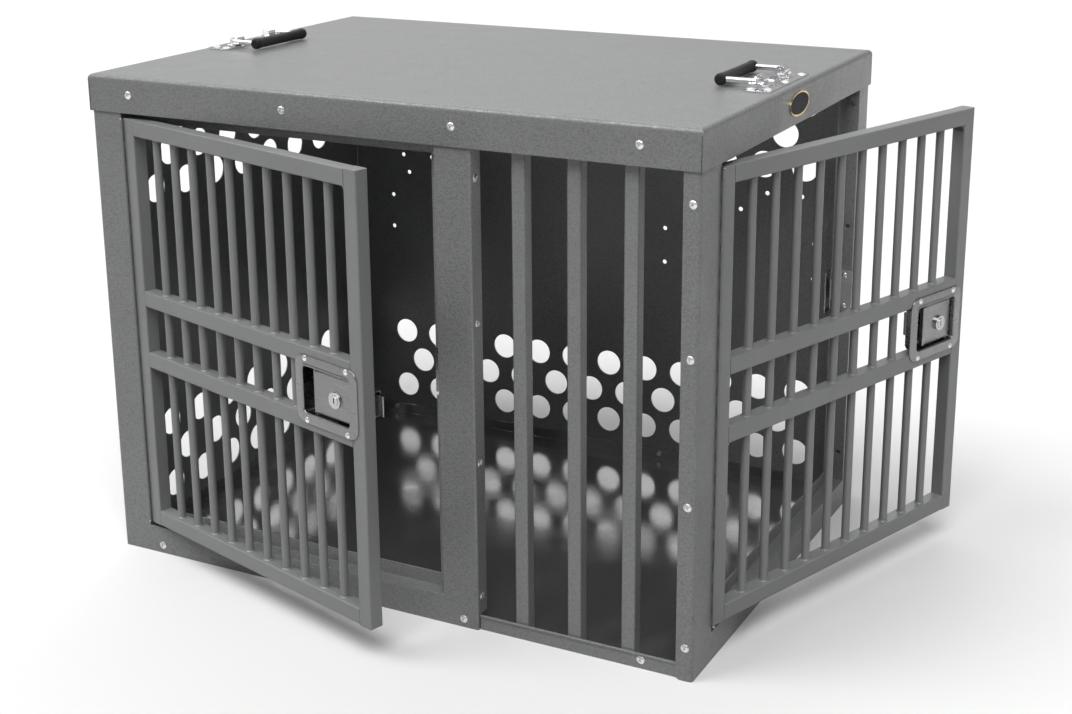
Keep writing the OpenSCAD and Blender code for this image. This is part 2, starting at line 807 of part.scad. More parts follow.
// Sliding bolt with a bevelled nose and a window for the paddle's arm
module bolt(w) at_latch(w) {
    nose = latch_from_edge + bolt_reach;
    difference() {
        translate([0, 0, -bolt_h / 2]) linear_extrude(bolt_h)
            polygon([[bolt_tail, bolt_v[0]], [nose, bolt_v[0]], [nose, bolt_v[0] + 1],
                [nose - bolt_bevel, bolt_v[1]], [bolt_tail, bolt_v[1]]]);
        translate([paddle_pivot_u - 4, bolt_v[0] - 1, -arm_slot_h / 2])
            cube([7.5, bolt_v[1] - bolt_v[0] + 2, arm_slot_h]);
    }
}

// ---------------------------------------------------------------- handles

// Handle frame: pivot axis along Y at the origin, bail towards +X, z = 0 on the axis
module at_left_handle() translate([left_x + handle_pivot_in, 0, pivot_z]) children();
module at_right_handle()
    translate([right_x - handle_pivot_in, 0, pivot_z]) rotate([0, 0, 180]) children();

module at_handle_rivets() {
    x = handle_plate_in - handle_pivot_in + 6;
    for (y = [-55, 0, 55]) translate([x, y, handle_plate_t - (pivot_z - body_h)]) children();
    for (y = [-60, 60]) translate([2, y, handle_plate_t - (pivot_z - body_h)]) children();
}

module handle_plate() {
    low = body_h - pivot_z;
    cx = handle_plate_in + handle_plate_w / 2 - handle_pivot_in;
    difference() {
        union() {
            translate([cx, 0, low]) linear_extrude(handle_plate_t)
                round_rect(handle_plate_w, handle_plate_l, 8);
            for (s = [-1, 1]) translate([0, s * loop_y, 0]) rotate([90, 0, 0])
                linear_extrude(loop_len, center = true) {
                    circle(loop_r);
                    translate([-loop_r - 5, low + handle_plate_t - 0.5]) square([loop_r + 5, 2.3]);
                }
        }
        rotate([90, 0, 0]) cylinder(h = handle_plate_l, r = bail_wire_r + 0.06, center = true);
        at_handle_rivets() rivet_hole(4);
    }
}

// Bent wire: two stubs in the loops, two arms, and the rod inside the grip
module bail_wire(extra = 0) {
    r = bail_wire_r + extra;
    c = bail_corner_r;
    for (s = [-1, 1]) {
        translate([0, s * (bail_half - stub_len), 0]) rotate([s * -90, 0, 0])
            cylinder(h = stub_len - c, r = r);
        translate([c, s * (bail_half - c), 0]) rotate([0, 0, s > 0 ? 90 : 180]) elbow(c, r);
    }
    bail_rod(c, r);
}

// The arms from x0 on, and the rod between them
module bail_rod(x0, r) {
    for (s = [-1, 1]) {
        translate([x0, s * bail_half, 0]) rotate([0, 90, 0])
            cylinder(h = bail_reach - x0, r = r);
        translate([bail_reach, s * bail_half, 0]) sphere(r);
    }
    translate([bail_reach, 0, 0]) rotate([90, 0, 0])
        cylinder(h = 2 * bail_half, r = r, center = true);
}

module elbow(c, r) rotate_extrude(angle = 90) translate([c, 0]) circle(r);

// Moulded grip around the rod, with domed ends
module bail_grip() {
    r = grip_d / 2;
    difference() {
        translate([bail_reach, 0, 0]) {
            rotate([90, 0, 0]) cylinder(h = 2 * (grip_half - r), r = r, center = true);
            for (s = [-1, 1]) translate([0, s * (grip_half - r), 0]) sphere(r);
        }
        bail_rod(bail_reach - grip_d, bail_wire_r);
    }
}

module left_handle_plate() color(bright) at_left_handle() handle_plate();
module right_handle_plate() color(bright) at_right_handle() handle_plate();
module left_bail() color(bright) at_left_handle() bail_wire();
module right_bail() color(bright) at_right_handle() bail_wire();
module left_grip() color(grip_black) at_left_handle() bail_grip();
module right_grip() color(grip_black) at_right_handle() bail_grip();

module handle_rivets() color(bright) {
    at_left_handle() at_handle_rivets() rivet(handle_plate_t, tail = false);
    at_right_handle() at_handle_rivets() rivet(handle_plate_t, tail = false);
}

// ---------------------------------------------------------------- small parts

module badge_plate() color(badge_gold) {
    steps = 48;
    half = badge_size / 2;
    translate([right_x + lid_over, badge_y, lid_rivet_z]) rotate([90, 0, 90])
        linear_extrude(badge_t) polygon([for (i = [0:steps - 1])
            [half[0] * cos(i * 360 / steps), half[1] * sin(i * 360 / steps)]]);
}

module body_rivets() color(bright) {
    at_lid_rivets() rivet(lid_over + sheet_t);
    at_header_rivet() rivet(lid_over + bar_face_y);
    at_front_strip_rivets() rivet(bar_face_y);
    at_mid_post_rivets() rivet(sheet_t);
    at_corner_post_rivets() rivet(sheet_t);
    at_sill_rivet() rivet(2 * sheet_t);
    at_back_rivets() rivet(inset + sheet_t);
    at_left_rivets() rivet(sheet_t + 0.2 + sheet_t);
    at_left_edge_rivets() rivet(inset + sheet_t);
    at_rear_corner_rivets() rivet(inset + sheet_t);
    at_front_doorway() at_strike_rivets(front_opening_w)
        rivet(strike_t + sheet_t, small_rivet_head_r, small_rivet_head_h);
    at_side_doorway() at_strike_rivets(side_opening_w)
        rivet(strike_t + sheet_t, small_rivet_head_r, small_rivet_head_h);
}

// ---------------------------------------------------------------- door nodes

module front_door_hinge_stile() color(door_grey) at_front_door() hinge_stile();
module front_door_latch_stile() color(door_grey) at_front_door() latch_stile(front_door_w);
module front_door_top_rail() color(door_grey) at_front_door() top_rail(front_door_w);
module front_door_bottom_rail() color(door_grey) at_front_door() bottom_rail(front_door_w);
module front_door_upper_cross_rail() color(door_grey) at_front_door() upper_cross_rail(front_door_w);
module front_door_lower_cross_rail() color(door_grey) at_front_door() lower_cross_rail(front_door_w);
module front_door_bars() color(door_grey) at_front_door() door_bars(front_door_w);
module front_hinge_door_leaf() color(bright) at_front_door() hinge_leaf(1, 1);
module front_latch_dish() color(stainless) at_front_door() latch_dish(front_door_w);
module front_latch_case() color(stainless) at_front_door() latch_case(front_door_w);
module front_latch_rivets() color(bright) at_front_door() latch_rivets(front_door_w);
module front_paddle_pin() color(stainless) at_front_door() paddle_pin(front_door_w);
module front_paddle_spring() color(stainless) at_front_door() paddle_spring(front_door_w);
module front_paddle() color(stainless) at_front_door() paddle(front_door_w);
module front_lock_cylinder() color(bright) at_front_door() lock_cylinder(front_door_w);
module front_lock_plug() color(bright) at_front_door() lock_plug(front_door_w);
module front_bolt() color(stainless) at_front_door() bolt(front_door_w);

module side_door_hinge_stile() color(door_grey) at_side_door() hinge_stile();
module side_door_latch_stile() color(door_grey) at_side_door() latch_stile(side_door_w);
module side_door_top_rail() color(door_grey) at_side_door() top_rail(side_door_w);
module side_door_bottom_rail() color(door_grey) at_side_door() bottom_rail(side_door_w);
module side_door_upper_cross_rail() color(door_grey) at_side_door() upper_cross_rail(side_door_w);
module side_door_lower_cross_rail() color(door_grey) at_side_door() lower_cross_rail(side_door_w);
module side_door_bars() color(door_grey) at_side_door() door_bars(side_door_w);
module side_hinge_door_leaf() color(bright) at_side_door() hinge_leaf(1, 1);
module side_latch_dish() color(stainless) at_side_door() latch_dish(side_door_w);
module side_latch_case() color(stainless) at_side_door() latch_case(side_door_w);
module side_latch_rivets() color(bright) at_side_door() latch_rivets(side_door_w);
module side_paddle_pin() color(stainless) at_side_door() paddle_pin(side_door_w);
module side_paddle_spring() color(stainless) at_side_door() paddle_spring(side_door_w);
module side_paddle() color(stainless) at_side_door() paddle(side_door_w);
module side_lock_cylinder() color(bright) at_side_door() lock_cylinder(side_door_w);
module side_lock_plug() color(bright) at_side_door() lock_plug(side_door_w);
module side_bolt() color(stainless) at_side_door() bolt(side_door_w);

floor_pan();
back_panel();
left_panel();
front_surround();
side_surround();
lid();
front_header();
front_bar_left();
front_bar_middle();
front_bar_right();
front_sill_rail();
front_strike();
side_strike();
front_hinge_frame_leaf();
front_hinge_pin();
side_hinge_frame_leaf();
side_hinge_pin();
left_handle_plate();
right_handle_plate();
badge_plate();
body_rivets();
handle_rivets();
front_door_hinge_stile();
front_door_latch_stile();
front_door_top_rail();
front_door_bottom_rail();
front_door_upper_cross_rail();
front_door_lower_cross_rail();
front_door_bars();
front_hinge_door_leaf();
front_latch_dish();
front_latch_case();
front_latch_rivets();
front_paddle_pin();
front_paddle_spring();
front_paddle();
front_lock_cylinder();
front_lock_plug();
front_bolt();
side_door_hinge_stile();
side_door_latch_stile();
side_door_top_rail();
side_door_bottom_rail();
side_door_upper_cross_rail();
side_door_lower_cross_rail();
side_door_bars();
side_hinge_door_leaf();
side_latch_dish();
side_latch_case();
side_latch_rivets();
side_paddle_pin();
side_paddle_spring();
side_paddle();
side_lock_cylinder();
side_lock_plug();
side_bolt();
left_bail();
left_grip();
right_bail();
right_grip();
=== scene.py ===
"""Looks of a folded-sheet dog crate: paints, metals and small trim, with a floor, lights and a camera."""

import json
import logging
import math
from dataclasses import dataclass
from enum import Enum

import bmesh
import bpy
from mathutils import Matrix, Quaternion, Vector


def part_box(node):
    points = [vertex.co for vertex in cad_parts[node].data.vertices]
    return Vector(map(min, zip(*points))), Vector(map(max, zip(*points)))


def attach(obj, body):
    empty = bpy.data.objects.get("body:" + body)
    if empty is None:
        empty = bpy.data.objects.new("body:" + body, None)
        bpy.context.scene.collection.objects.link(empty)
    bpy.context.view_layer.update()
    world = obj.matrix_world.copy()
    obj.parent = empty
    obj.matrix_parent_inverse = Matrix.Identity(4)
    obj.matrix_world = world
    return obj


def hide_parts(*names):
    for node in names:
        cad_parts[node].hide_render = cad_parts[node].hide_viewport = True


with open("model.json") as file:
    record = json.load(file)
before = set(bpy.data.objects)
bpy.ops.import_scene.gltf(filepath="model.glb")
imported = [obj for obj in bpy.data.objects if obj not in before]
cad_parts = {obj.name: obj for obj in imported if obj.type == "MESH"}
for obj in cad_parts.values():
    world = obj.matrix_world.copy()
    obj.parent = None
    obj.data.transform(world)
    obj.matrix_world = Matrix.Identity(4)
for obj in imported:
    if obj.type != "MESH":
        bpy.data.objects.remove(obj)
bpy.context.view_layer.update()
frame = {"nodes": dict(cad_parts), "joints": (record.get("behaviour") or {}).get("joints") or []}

LOG = logging.getLogger("dog_crate")
MM = 0.001
MERGE_DISTANCE = 0.001 * MM
CORNER_SEGMENTS = 6
MIX_COLOURS = (6, 7)
MIX_RESULT = 2
Colour = tuple[float, float, float]
Pair = tuple[float, float]


# ---------------------------------------------------------------- node trees


class Graph:
    """A node tree with short ways to add nodes, set their values and link them."""

    def __init__(self, tree: bpy.types.NodeTree) -> None:
        """Wraps a tree and clears it.

        Args:
            tree: the node tree of a material, a world or a node group.
        """
        self.tree = tree
        tree.nodes.clear()

    def add(self, kind: str, inputs: dict | None = None, **settings: object) -> bpy.types.Node:
        """Adds a node.

        Args:
            kind: the node's type, without its "ShaderNode" prefix.
            inputs: socket names to values, or to the output sockets that feed them.
            settings: the node's own properties.

        Returns:
            The new node.
        """
        prefix = "" if kind.startswith("NodeGroup") else "ShaderNode"
        made = self.tree.nodes.new(prefix + kind)
        for name, value in settings.items():
            setattr(made, name, value)
        for name, value in (inputs or {}).items():
            self.feed(made.inputs[name], value)
        return made

    def feed(self, socket: bpy.types.NodeSocket, value: object) -> None:
        """Links a socket to an output socket, or sets its value.

        Args:
            socket: the input socket.
            value: the output socket that feeds it, or its value.
        """
        if isinstance(value, bpy.types.NodeSocket):
            self.tree.links.new(value, socket)
        else:
            socket.default_value = value

    def maths(self, operation: str, a: object, b: object) -> bpy.types.NodeSocket:
        """The result of a Math node on two values or sockets."""
        return self.add("Math", {0: a, 1: b}, operation=operation).outputs[0]

    def ramp(self, value: object, limits: Pair, out: Pair = (0.0, 1.0)) -> bpy.types.NodeSocket:
        """Maps a value smoothly from one range to another, held at the ends.

        Args:
            value: the value or the socket that gives it.
            limits: where the range that it comes from starts and ends.
            out: where the range that it goes to starts and ends.

        Returns:
            The socket of the result.
        """
        source = {"Value": value, "From Min": limits[0], "From Max": limits[1]}
        inputs = {**source, "To Min": out[0], "To Max": out[1]}
        return self.add("MapRange", inputs, interpolation_type="SMOOTHSTEP").outputs[0]

    def mix(self, share: object, a: object, b: object, blend: str = "MIX") -> bpy.types.NodeSocket:
        """Mixes two colours.

        Args:
            share: the share of the second colour.
            a: the first colour, or its socket.
            b: the second colour, or its socket.
            blend: the way in which they are mixed.

        Returns:
            The socket of the mixed colour.
        """
        made = self.add("Mix", data_type="RGBA", blend_type=blend)
        self.feed(made.inputs[0], share)
        for index, value in zip(MIX_COLOURS, (a, b)):
            self.feed(made.inputs[index], (*value, 1.0) if isinstance(value, tuple) else value)
        return made.outputs[MIX_RESULT]

    def place(self, scale: tuple[float, float, float] = (1.0, 1.0, 1.0)) -> bpy.types.NodeSocket:
        """Object coordinates in metres, stretched by a scale."""
        where = self.add("TexCoord").outputs["Object"]
        return self.add("Mapping", {"Vector": where, "Scale": scale}).outputs[0]


@dataclass(frozen=True)
class Effect:
    """A shader node group with number inputs, built once and placed in each material that needs it."""

    name: str
    inputs: tuple[tuple[str, float], ...]
    outputs: tuple[str, ...]
    vector_outputs: tuple[str, ...] = ()

    def group(self) -> bpy.types.NodeTree:
        """Finds the node group, or builds it the first time that it is asked for.

        Returns:
            The group's tree.
        """
        known = bpy.data.node_groups.get(self.name)
        if known:
            return known
        tree = bpy.data.node_groups.new(self.name, "ShaderNodeTree")
        for name, value in self.inputs:
            socket = tree.interface.new_socket(name, in_out="INPUT", socket_type="NodeSocketFloat")
            socket.default_value = value
        for name in self.outputs:
            tree.interface.new_socket(name, in_out="OUTPUT", socket_type="NodeSocketFloat")
        for name in self.vector_outputs:
            tree.interface.new_socket(name, in_out="OUTPUT", socket_type="NodeSocketVector")
        graph = Graph(tree)
        given = graph.add("NodeGroupInput")
        made = self.fill(graph, given.outputs)
        graph.add("NodeGroupOutput", made)
        return tree

    def fill(self, graph: Graph, given: bpy.types.bpy_prop_collection) -> dict:
        """Adds the effect's own nodes.

        Args:
            graph: the group's tree.
            given: the group's input sockets.

        Returns:
            The group's output names and the sockets that feed them.
        """
        raise NotImplementedError

    def use(self, graph: Graph, **values: float) -> bpy.types.Node:
        """The group, placed in a material with values for its inputs."""
        return graph.add("Group", values, node_tree=self.group())


class SoftEdge(Effect):
    """Rounds the shading of sharp edges and marks where they are."""

    SAMPLES = 4
    TURNED = (0.995, 0.75)

    def fill(self, graph: Graph, given: bpy.types.bpy_prop_collection) -> dict:
        """Compares the rounded normal with the flat one.

        Args:
            graph: the group's tree.
            given: the group's input sockets.

        Returns:
            The mask of the edges and the rounded normal.
        """
        rounded = graph.add("Bevel", {"Radius": given["Radius"]}, samples=self.SAMPLES).outputs[0]
        flat = graph.add("NewGeometry").outputs["Normal"]
        both = {0: rounded, 1: flat}
        along = graph.add("VectorMath", both, operation="DOT_PRODUCT").outputs["Value"]
        return {"Edge": graph.ramp(along, self.TURNED), "Normal": rounded}


class Hammertone(Effect):
    """The pebbled skin of hammertone paint: its height and the mottle of its metallic flake."""

    WOBBLE_SCALE = 170.0
    WOBBLE = 4 * MM
    SMOOTHNESS = 0.8
    GRAIN_SCALE = 900.0
    GRAIN_HEIGHT = 0.25
    GRAIN_TONE = 0.5
    PEBBLE_RANGE = (0.1, 0.75)
    MOTTLE_RANGE = (0.35, 1.1)

    def fill(self, graph: Graph, given: bpy.types.bpy_prop_collection) -> dict:
        """Builds pebbles from smooth cells, broken up by noise.

        Args:
            graph: the group's tree.
            given: the group's input sockets.

        Returns:
            The height and the mottle.
        """
        where = graph.place()
        noise = {"Vector": where, "Scale": self.WOBBLE_SCALE, "Detail": 2.0}
        wobble = graph.add("TexNoise", noise).outputs["Color"]
        moved = graph.add("VectorMath", {0: wobble, "Scale": self.WOBBLE}, operation="SCALE").outputs[0]
        shifted = graph.add("VectorMath", {0: where, 1: moved}, operation="ADD").outputs[0]
        spread = {"Vector": shifted, "Scale": given["Scale"], "Smoothness": self.SMOOTHNESS}
        cells = graph.add("TexVoronoi", spread, feature="SMOOTH_F1").outputs["Distance"]
        noise = {"Vector": where, "Scale": self.GRAIN_SCALE, "Detail": 3.0}
        fine = graph.add("TexNoise", noise).outputs[0]
        pebbles = graph.ramp(cells, self.PEBBLE_RANGE)
        height = graph.maths("ADD", pebbles, graph.maths("MULTIPLY", fine, self.GRAIN_HEIGHT))
        toned = graph.maths("ADD", cells, graph.maths("MULTIPLY", fine, self.GRAIN_TONE))
        return {"Height": height, "Mottle": graph.ramp(toned, self.MOTTLE_RANGE)}


class OrangePeel(Effect):
    """The fine ripple of sprayed satin paint."""

    FINE_SCALE = 1500.0
    FINE_HEIGHT = 0.4
    MOTTLE_RANGE = (0.3, 0.7)

    def fill(self, graph: Graph, given: bpy.types.bpy_prop_collection) -> dict:
        """Adds two sizes of noise.

        Args:
            graph: the group's tree.
            given: the group's input sockets.

        Returns:
            The height and the mottle.
        """
        where = graph.place()
        broad, fine = (
            graph.add("TexNoise", {"Vector": where, "Scale": scale, "Detail": 2.0}).outputs[0]
            for scale in (given["Scale"], self.FINE_SCALE)
        )
        height = graph.maths("ADD", broad, graph.maths("MULTIPLY", fine, self.FINE_HEIGHT))
        return {"Height": height, "Mottle": graph.ramp(fine, self.MOTTLE_RANGE)}


class BrushLines(Effect):
    """Level grinding lines on sheet steel."""

    SQUEEZE = (1.0, 1.0, 60.0)
    STREAK_RANGE = (0.3, 0.7)

    def fill(self, graph: Graph, given: bpy.types.bpy_prop_collection) -> dict:
        """Stretches noise along the level directions.

        Args:
            graph: the group's tree.
            given: the group's input sockets.

        Returns:
            The height and the streaks.
        """
        noise = {"Vector": graph.place(self.SQUEEZE), "Scale": given["Scale"], "Detail": 4.0}
        lines = graph.add("TexNoise", noise).outputs[0]
        return {"Height": lines, "Streak": graph.ramp(lines, self.STREAK_RANGE)}


class Handling(Effect):
    """Broad, faint unevenness of gloss and tone, as handling and wiping leave."""

    FINE_SHARE = 0.6
    SMUDGE_RANGE = (0.35, 0.65)

    def fill(self, graph: Graph, given: bpy.types.bpy_prop_collection) -> dict:
        """Layers noise from the size of a hand down to that of a fingertip.

        Args:
            graph: the group's tree.
            given: the group's input sockets.

        Returns:
            The smudges.
        """
        spread = {"Scale": given["Scale"], "Detail": 5.0, "Roughness": self.FINE_SHARE}
        broad = graph.add("TexNoise", {"Vector": graph.place(), **spread}).outputs[0]
        return {"Smudge": graph.ramp(broad, self.SMUDGE_RANGE)}


SOFT_EDGE = SoftEdge("soft_edge", (("Radius", 0.0006),), ("Edge",), ("Normal",))
HAMMERTONE = Hammertone("hammertone", (("Scale", 330.0),), ("Height", "Mottle"))
ORANGE_PEEL = OrangePeel("orange_peel", (("Scale", 420.0),), ("Height", "Mottle"))
BRUSH_LINES = BrushLines("brush_lines", (("Scale", 30.0),), ("Height", "Streak"))
HANDLING = Handling("handling", (("Scale", 9.0),), ("Smudge",))


# ---------------------------------------------------------------- finishes


class Skin(Enum):
    """Surface relief of a paint."""

    HAMMERED = "hammered"
    SATIN = "satin"


@dataclass(frozen=True)
class Finish:
    """A finish that dresses pieces with one material."""

    name: str
    colour: Colour
    roughness: float

    def material(self) -> bpy.types.Material:
        """Finds the material, or makes it the first time that it is asked for.

        Returns:
            The material.
        """
        title = f"{self.name}_finish"
        known = bpy.data.materials.get(title)
        if known:
            return known
        made = bpy.data.materials.new(title)
        made.use_nodes = True
        graph = Graph(made.node_tree)
        shader = graph.add("BsdfPrincipled")
        out = graph.add("OutputMaterial")
        graph.feed(out.inputs["Surface"], shader.outputs[0])
        self.fill(graph, shader)
        return made

    def fill(self, graph: Graph, shader: bpy.types.Node) -> None:
        """Feeds the material's shader.

        Args:
            graph: the material's tree.
            shader: its Principled node.
        """
        raise NotImplementedError

    def dress(self, thing: bpy.types.Object) -> None:
        """Puts the material in every slot of a piece.

        Args:
            thing: the piece.
        """
        if not thing.material_slots:
            thing.data.materials.append(self.material())
        for place in thing.material_slots:
            place.material = self.material()


@dataclass(frozen=True)
class Paint(Finish):
    """Baked paint on sheet or tube, hammered or satin."""

    skin: Skin
    relief: float
    pebble: float = 520.0
    edge_radius: float = 0.9 * MM
    metallic: float = 0.14
    mottle: float = 0.22
    smudge_scale: float = 9.0
    smudge: float = 0.06
    smudge_tone: Colour = (0.5, 0.5, 0.5)
    gloss_spread: Pair = (-0.04, 0.05)
    # Edges painted lighter: partly a painted highlight along the bends, partly edge wear.
    edge_wear_and_highlight: float = 0.5
    edge_wear_and_highlight_gain: float = 2.2

    def fill(self, graph: Graph, shader: bpy.types.Node) -> None:
        """Builds mottled colour, uneven gloss, relief, and edges with rounded shading that are painted
        lighter: partly a painted highlight, partly edge wear.

        Args:
            graph: the material's tree.
            shader: its Principled node.
        """
        edges = SOFT_EDGE.use(graph, Radius=self.edge_radius)
        effect = HAMMERTONE if self.skin is Skin.HAMMERED else ORANGE_PEEL
        skin = effect.use(graph, Scale=self.pebble)
        wiped = HANDLING.use(graph, Scale=self.smudge_scale).outputs["Smudge"]
        dark = tuple(c * (1.0 - self.mottle) for c in self.colour)
        light = tuple(min(1.0, c * (1.0 + self.mottle)) for c in self.colour)
        mottled = graph.mix(skin.outputs["Mottle"], light, dark)
        wiped_share = graph.maths("MULTIPLY", wiped, self.smudge)
        toned = graph.mix(wiped_share, mottled, self.smudge_tone, "MULTIPLY")
        # Painted highlight mixed with edge wear: the edges are lightened towards a brighter copy of the
        # paint colour.
        wear_and_highlight_share = graph.maths("MULTIPLY", edges.outputs["Edge"], self.edge_wear_and_highlight)
        wear_and_highlight_colour = tuple(min(1.0, c * self.edge_wear_and_highlight_gain) for c in self.colour)
        graph.feed(shader.inputs["Base Color"], graph.mix(wear_and_highlight_share, toned, wear_and_highlight_colour))
        low, high = (self.roughness + step for step in self.gloss_spread)
        graph.feed(shader.inputs["Roughness"], graph.ramp(wiped, (0.0, 1.0), (low, high)))
        shader.inputs["Metallic"].default_value = self.metallic
        raised = {"Height": skin.outputs["Height"], "Distance": self.relief}
        relief = graph.add("Bump", {**raised, "Normal": edges.outputs["Normal"]})
        graph.feed(shader.inputs["Normal"], relief.outputs[0])


@dataclass(frozen=True)
class Metal(Finish):
    """Bare metal, ground or smooth."""

    streaks: float
    edge_radius: float = 0.5 * MM
    relief: float = 0.00002
    line_scale: float = 30.0
    smudge_scale: float = 28.0
    dulling: float = 0.82
    # Painted highlight along the edges: how much lighter, its ceiling, and its share.
    highlight_gain: float = 3.4
    highlight_limit: float = 0.95
    edge_highlight: float = 0.9
    streak_roughness: float = 0.12
    smudge_roughness: float = 1.35

    def fill(self, graph: Graph, shader: bpy.types.Node) -> None:
        """Builds grinding lines, smudges and a painted highlight along the edges.

        Args:
            graph: the material's tree.
            shader: its Principled node.
        """
        edges = SOFT_EDGE.use(graph, Radius=self.edge_radius)
        lines = BRUSH_LINES.use(graph, Scale=self.line_scale)
        wiped = HANDLING.use(graph, Scale=self.smudge_scale).outputs["Smudge"]
        dull = tuple(c * self.dulling for c in self.colour)
        streaked = graph.maths("MULTIPLY", lines.outputs["Streak"], self.streaks)
        lined = graph.mix(streaked, self.colour, dull)
        # Painted highlight: the edges are lightened towards a brighter copy of the metal colour.
        highlight_colour = tuple(min(self.highlight_limit, c * self.highlight_gain) for c in self.colour)
        edge_highlight_share = graph.maths("MULTIPLY", edges.outputs["Edge"], self.edge_highlight)
        graph.feed(shader.inputs["Base Color"], graph.mix(edge_highlight_share, lined, highlight_colour))
        rough_lines = self.streak_roughness * self.streaks
        spread = graph.maths("MULTIPLY", lines.outputs["Streak"], rough_lines)
        limits = (self.roughness, self.roughness * self.smudge_roughness)
        uneven = graph.ramp(wiped, (0.0, 1.0), limits)
        graph.feed(shader.inputs["Roughness"], graph.maths("ADD", uneven, spread))
        shader.inputs["Metallic"].default_value = 1.0
        raised = {"Height": lines.outputs["Height"], "Distance": self.relief * self.streaks}
        relief = graph.add("Bump", {**raised, "Normal": edges.outputs["Normal"]})
        graph.feed(shader.inputs["Normal"], relief.outputs[0])


@dataclass(frozen=True)
class Moulded(Finish):
    """Moulded rubber or enamel, also used for the painted shade in the lid's seam gaps."""

    gloss: float = 0.25
    grain_scale: float = 900.0
    smudge_scale: float = 40.0
    fading: float = 1.5
    fade_floor: float = 0.004
    gloss_spread: float = 0.1
    relief: float = 0.00004

    def fill(self, graph: Graph, shader: bpy.types.Node) -> None:
        """Builds a fine grain and worn tone.

        Args:
            graph: the material's tree.
            shader: its Principled node.
        """
        grain = ORANGE_PEEL.use(graph, Scale=self.grain_scale)
        wiped = HANDLING.use(graph, Scale=self.smudge_scale).outputs["Smudge"]
        light = tuple(c * self.fading + self.fade_floor for c in self.colour)
        graph.feed(shader.inputs["Base Color"], graph.mix(wiped, self.colour, light))
        limits = (self.roughness, self.roughness + self.gloss_spread)
        graph.feed(shader.inputs["Roughness"], graph.ramp(wiped, (0.0, 1.0), limits))
        shader.inputs["Specular IOR Level"].default_value = self.gloss
        relief = graph.add("Bump", {"Height": grain.outputs["Height"], "Distance": self.relief})
        graph.feed(shader.inputs["Normal"], relief.outputs[0])


@dataclass(frozen=True)
class Ground(Finish):
    """The pale studio floor, which throws back less light than it shows."""

    thrown_back: float = 0.13
    gloss: float = 0.2

    def fill(self, graph: Graph, shader: bpy.types.Node) -> None:
        """Builds a plain matt surface.

        Args:
            graph: the material's tree.
            shader: its Principled node.
        """
        scattered = graph.add("LightPath").outputs["Is Diffuse Ray"]
        dim = tuple(c * self.thrown_back for c in self.colour)
        graph.feed(shader.inputs["Base Color"], graph.mix(scattered, self.colour, dim))
        shader.inputs["Roughness"].default_value = self.roughness
        shader.inputs["Specular IOR Level"].default_value = self.gloss


BODY_PAINT = Paint("hammertone_paint", (0.245, 0.248, 0.252), 0.34, Skin.HAMMERED, 0.00016, mottle=0.17)
BAR_PAINT = Paint("bar_hammertone", (0.255, 0.258, 0.262), 0.34, Skin.HAMMERED, 0.00013, mottle=0.14)
PAN_PAINT = Paint(
    "pan_paint", (0.30, 0.30, 0.305), 0.13, Skin.HAMMERED, 0.00002, metallic=0.75, mottle=0.10
)
DOOR_PAINT = Paint("door_paint", (0.265, 0.268, 0.272), 0.33, Skin.SATIN, 0.00005, mottle=0.08)
STAINLESS = Metal("stainless", (0.25, 0.25, 0.25), 0.20, 0.6, edge_radius=1.3 * MM)
HINGE_PAINT = Paint("hinge_paint", (0.235, 0.238, 0.242), 0.38, Skin.SATIN, 0.00003, edge_radius=0.3 * MM)
RIVET_METAL = Metal("rivet_metal", (0.78, 0.78, 0.78), 0.22, 0.15, edge_radius=0.3 * MM)
CHROME = Metal("chrome_plate", (0.82, 0.82, 0.83), 0.07, 0.0)
LOCK_METAL = Metal("lock_metal", (0.50, 0.50, 0.50), 0.12, 0.2, edge_radius=0.8 * MM)
GRIP_RUBBER = Moulded("grip_rubber", (0.012, 0.012, 0.013), 0.42)
BADGE_FIELD = Moulded("badge_enamel", (0.003, 0.004, 0.010), 0.4, gloss=0.06)
# Painted shade: a near-black finish for the shade in the narrow gaps of the lid's corner seams.
SEAM_SHADOW = Moulded("seam_gap_painted_shade", (0.020, 0.020, 0.020), 0.6)
BADGE_RIM = Metal("badge_gilt", (0.80, 0.60, 0.26), 0.22, 0.2, edge_radius=0.2 * MM)
FLOOR = Ground("studio_floor", (0.90, 0.90, 0.90), 0.65)


# ---------------------------------------------------------------- pieces


def finished(
    mesh: bmesh.types.BMesh, name: str, finish: Finish, smooth_angle: float = 35.0
) -> bpy.types.Object:
    """Turns a bmesh into a piece with its place in its mesh.

    Args:
        mesh: the shape, which is freed.
        name: the piece's name.
        finish: what dresses it.
        smooth_angle: the angle in degrees up to which its faces are shaded as one.

    Returns:
        The new object, at the origin and linked to the scene.
    """
    bmesh.ops.remove_doubles(mesh, verts=mesh.verts, dist=MERGE_DISTANCE)
    bmesh.ops.recalc_face_normals(mesh, faces=mesh.faces)
    for edge in mesh.edges:
        edge.smooth = edge.calc_face_angle(0.0) < math.radians(smooth_angle)
    for face in mesh.faces:
        face.smooth = True
    data = bpy.data.meshes.new(name)
    mesh.to_mesh(data)
    mesh.free()
    thing = bpy.data.objects.new(name, data)
    bpy.context.scene.collection.objects.link(thing)
    finish.dress(thing)
    return thing


def put(mesh: bmesh.types.BMesh, verts: list, place: Matrix) -> None:
    """Moves some vertices of a bmesh by a matrix."""
    bmesh.ops.transform(mesh, matrix=place, verts=verts)


def aimed(direction: Vector, at: Vector) -> Matrix:
    """A matrix that turns +Z to a direction and moves the origin to a point."""
    return Matrix.Translation(at) @ direction.to_track_quat("Z", "Y").to_matrix().to_4x4()


@dataclass(frozen=True)
class Solid:
    """One connected solid of a CAD node, as its box and its vertices."""

    points: tuple[Vector, ...]

    @property
    def low(self) -> Vector:
        """Lowest corner."""
        return Vector([min(p[i] for p in self.points) for i in range(3)])

    @property
    def high(self) -> Vector:
        """Highest corner."""
        return Vector([max(p[i] for p in self.points) for i in range(3)])

    @property
    def centre(self) -> Vector:
        """Middle of the box."""
        return (self.low + self.high) / 2


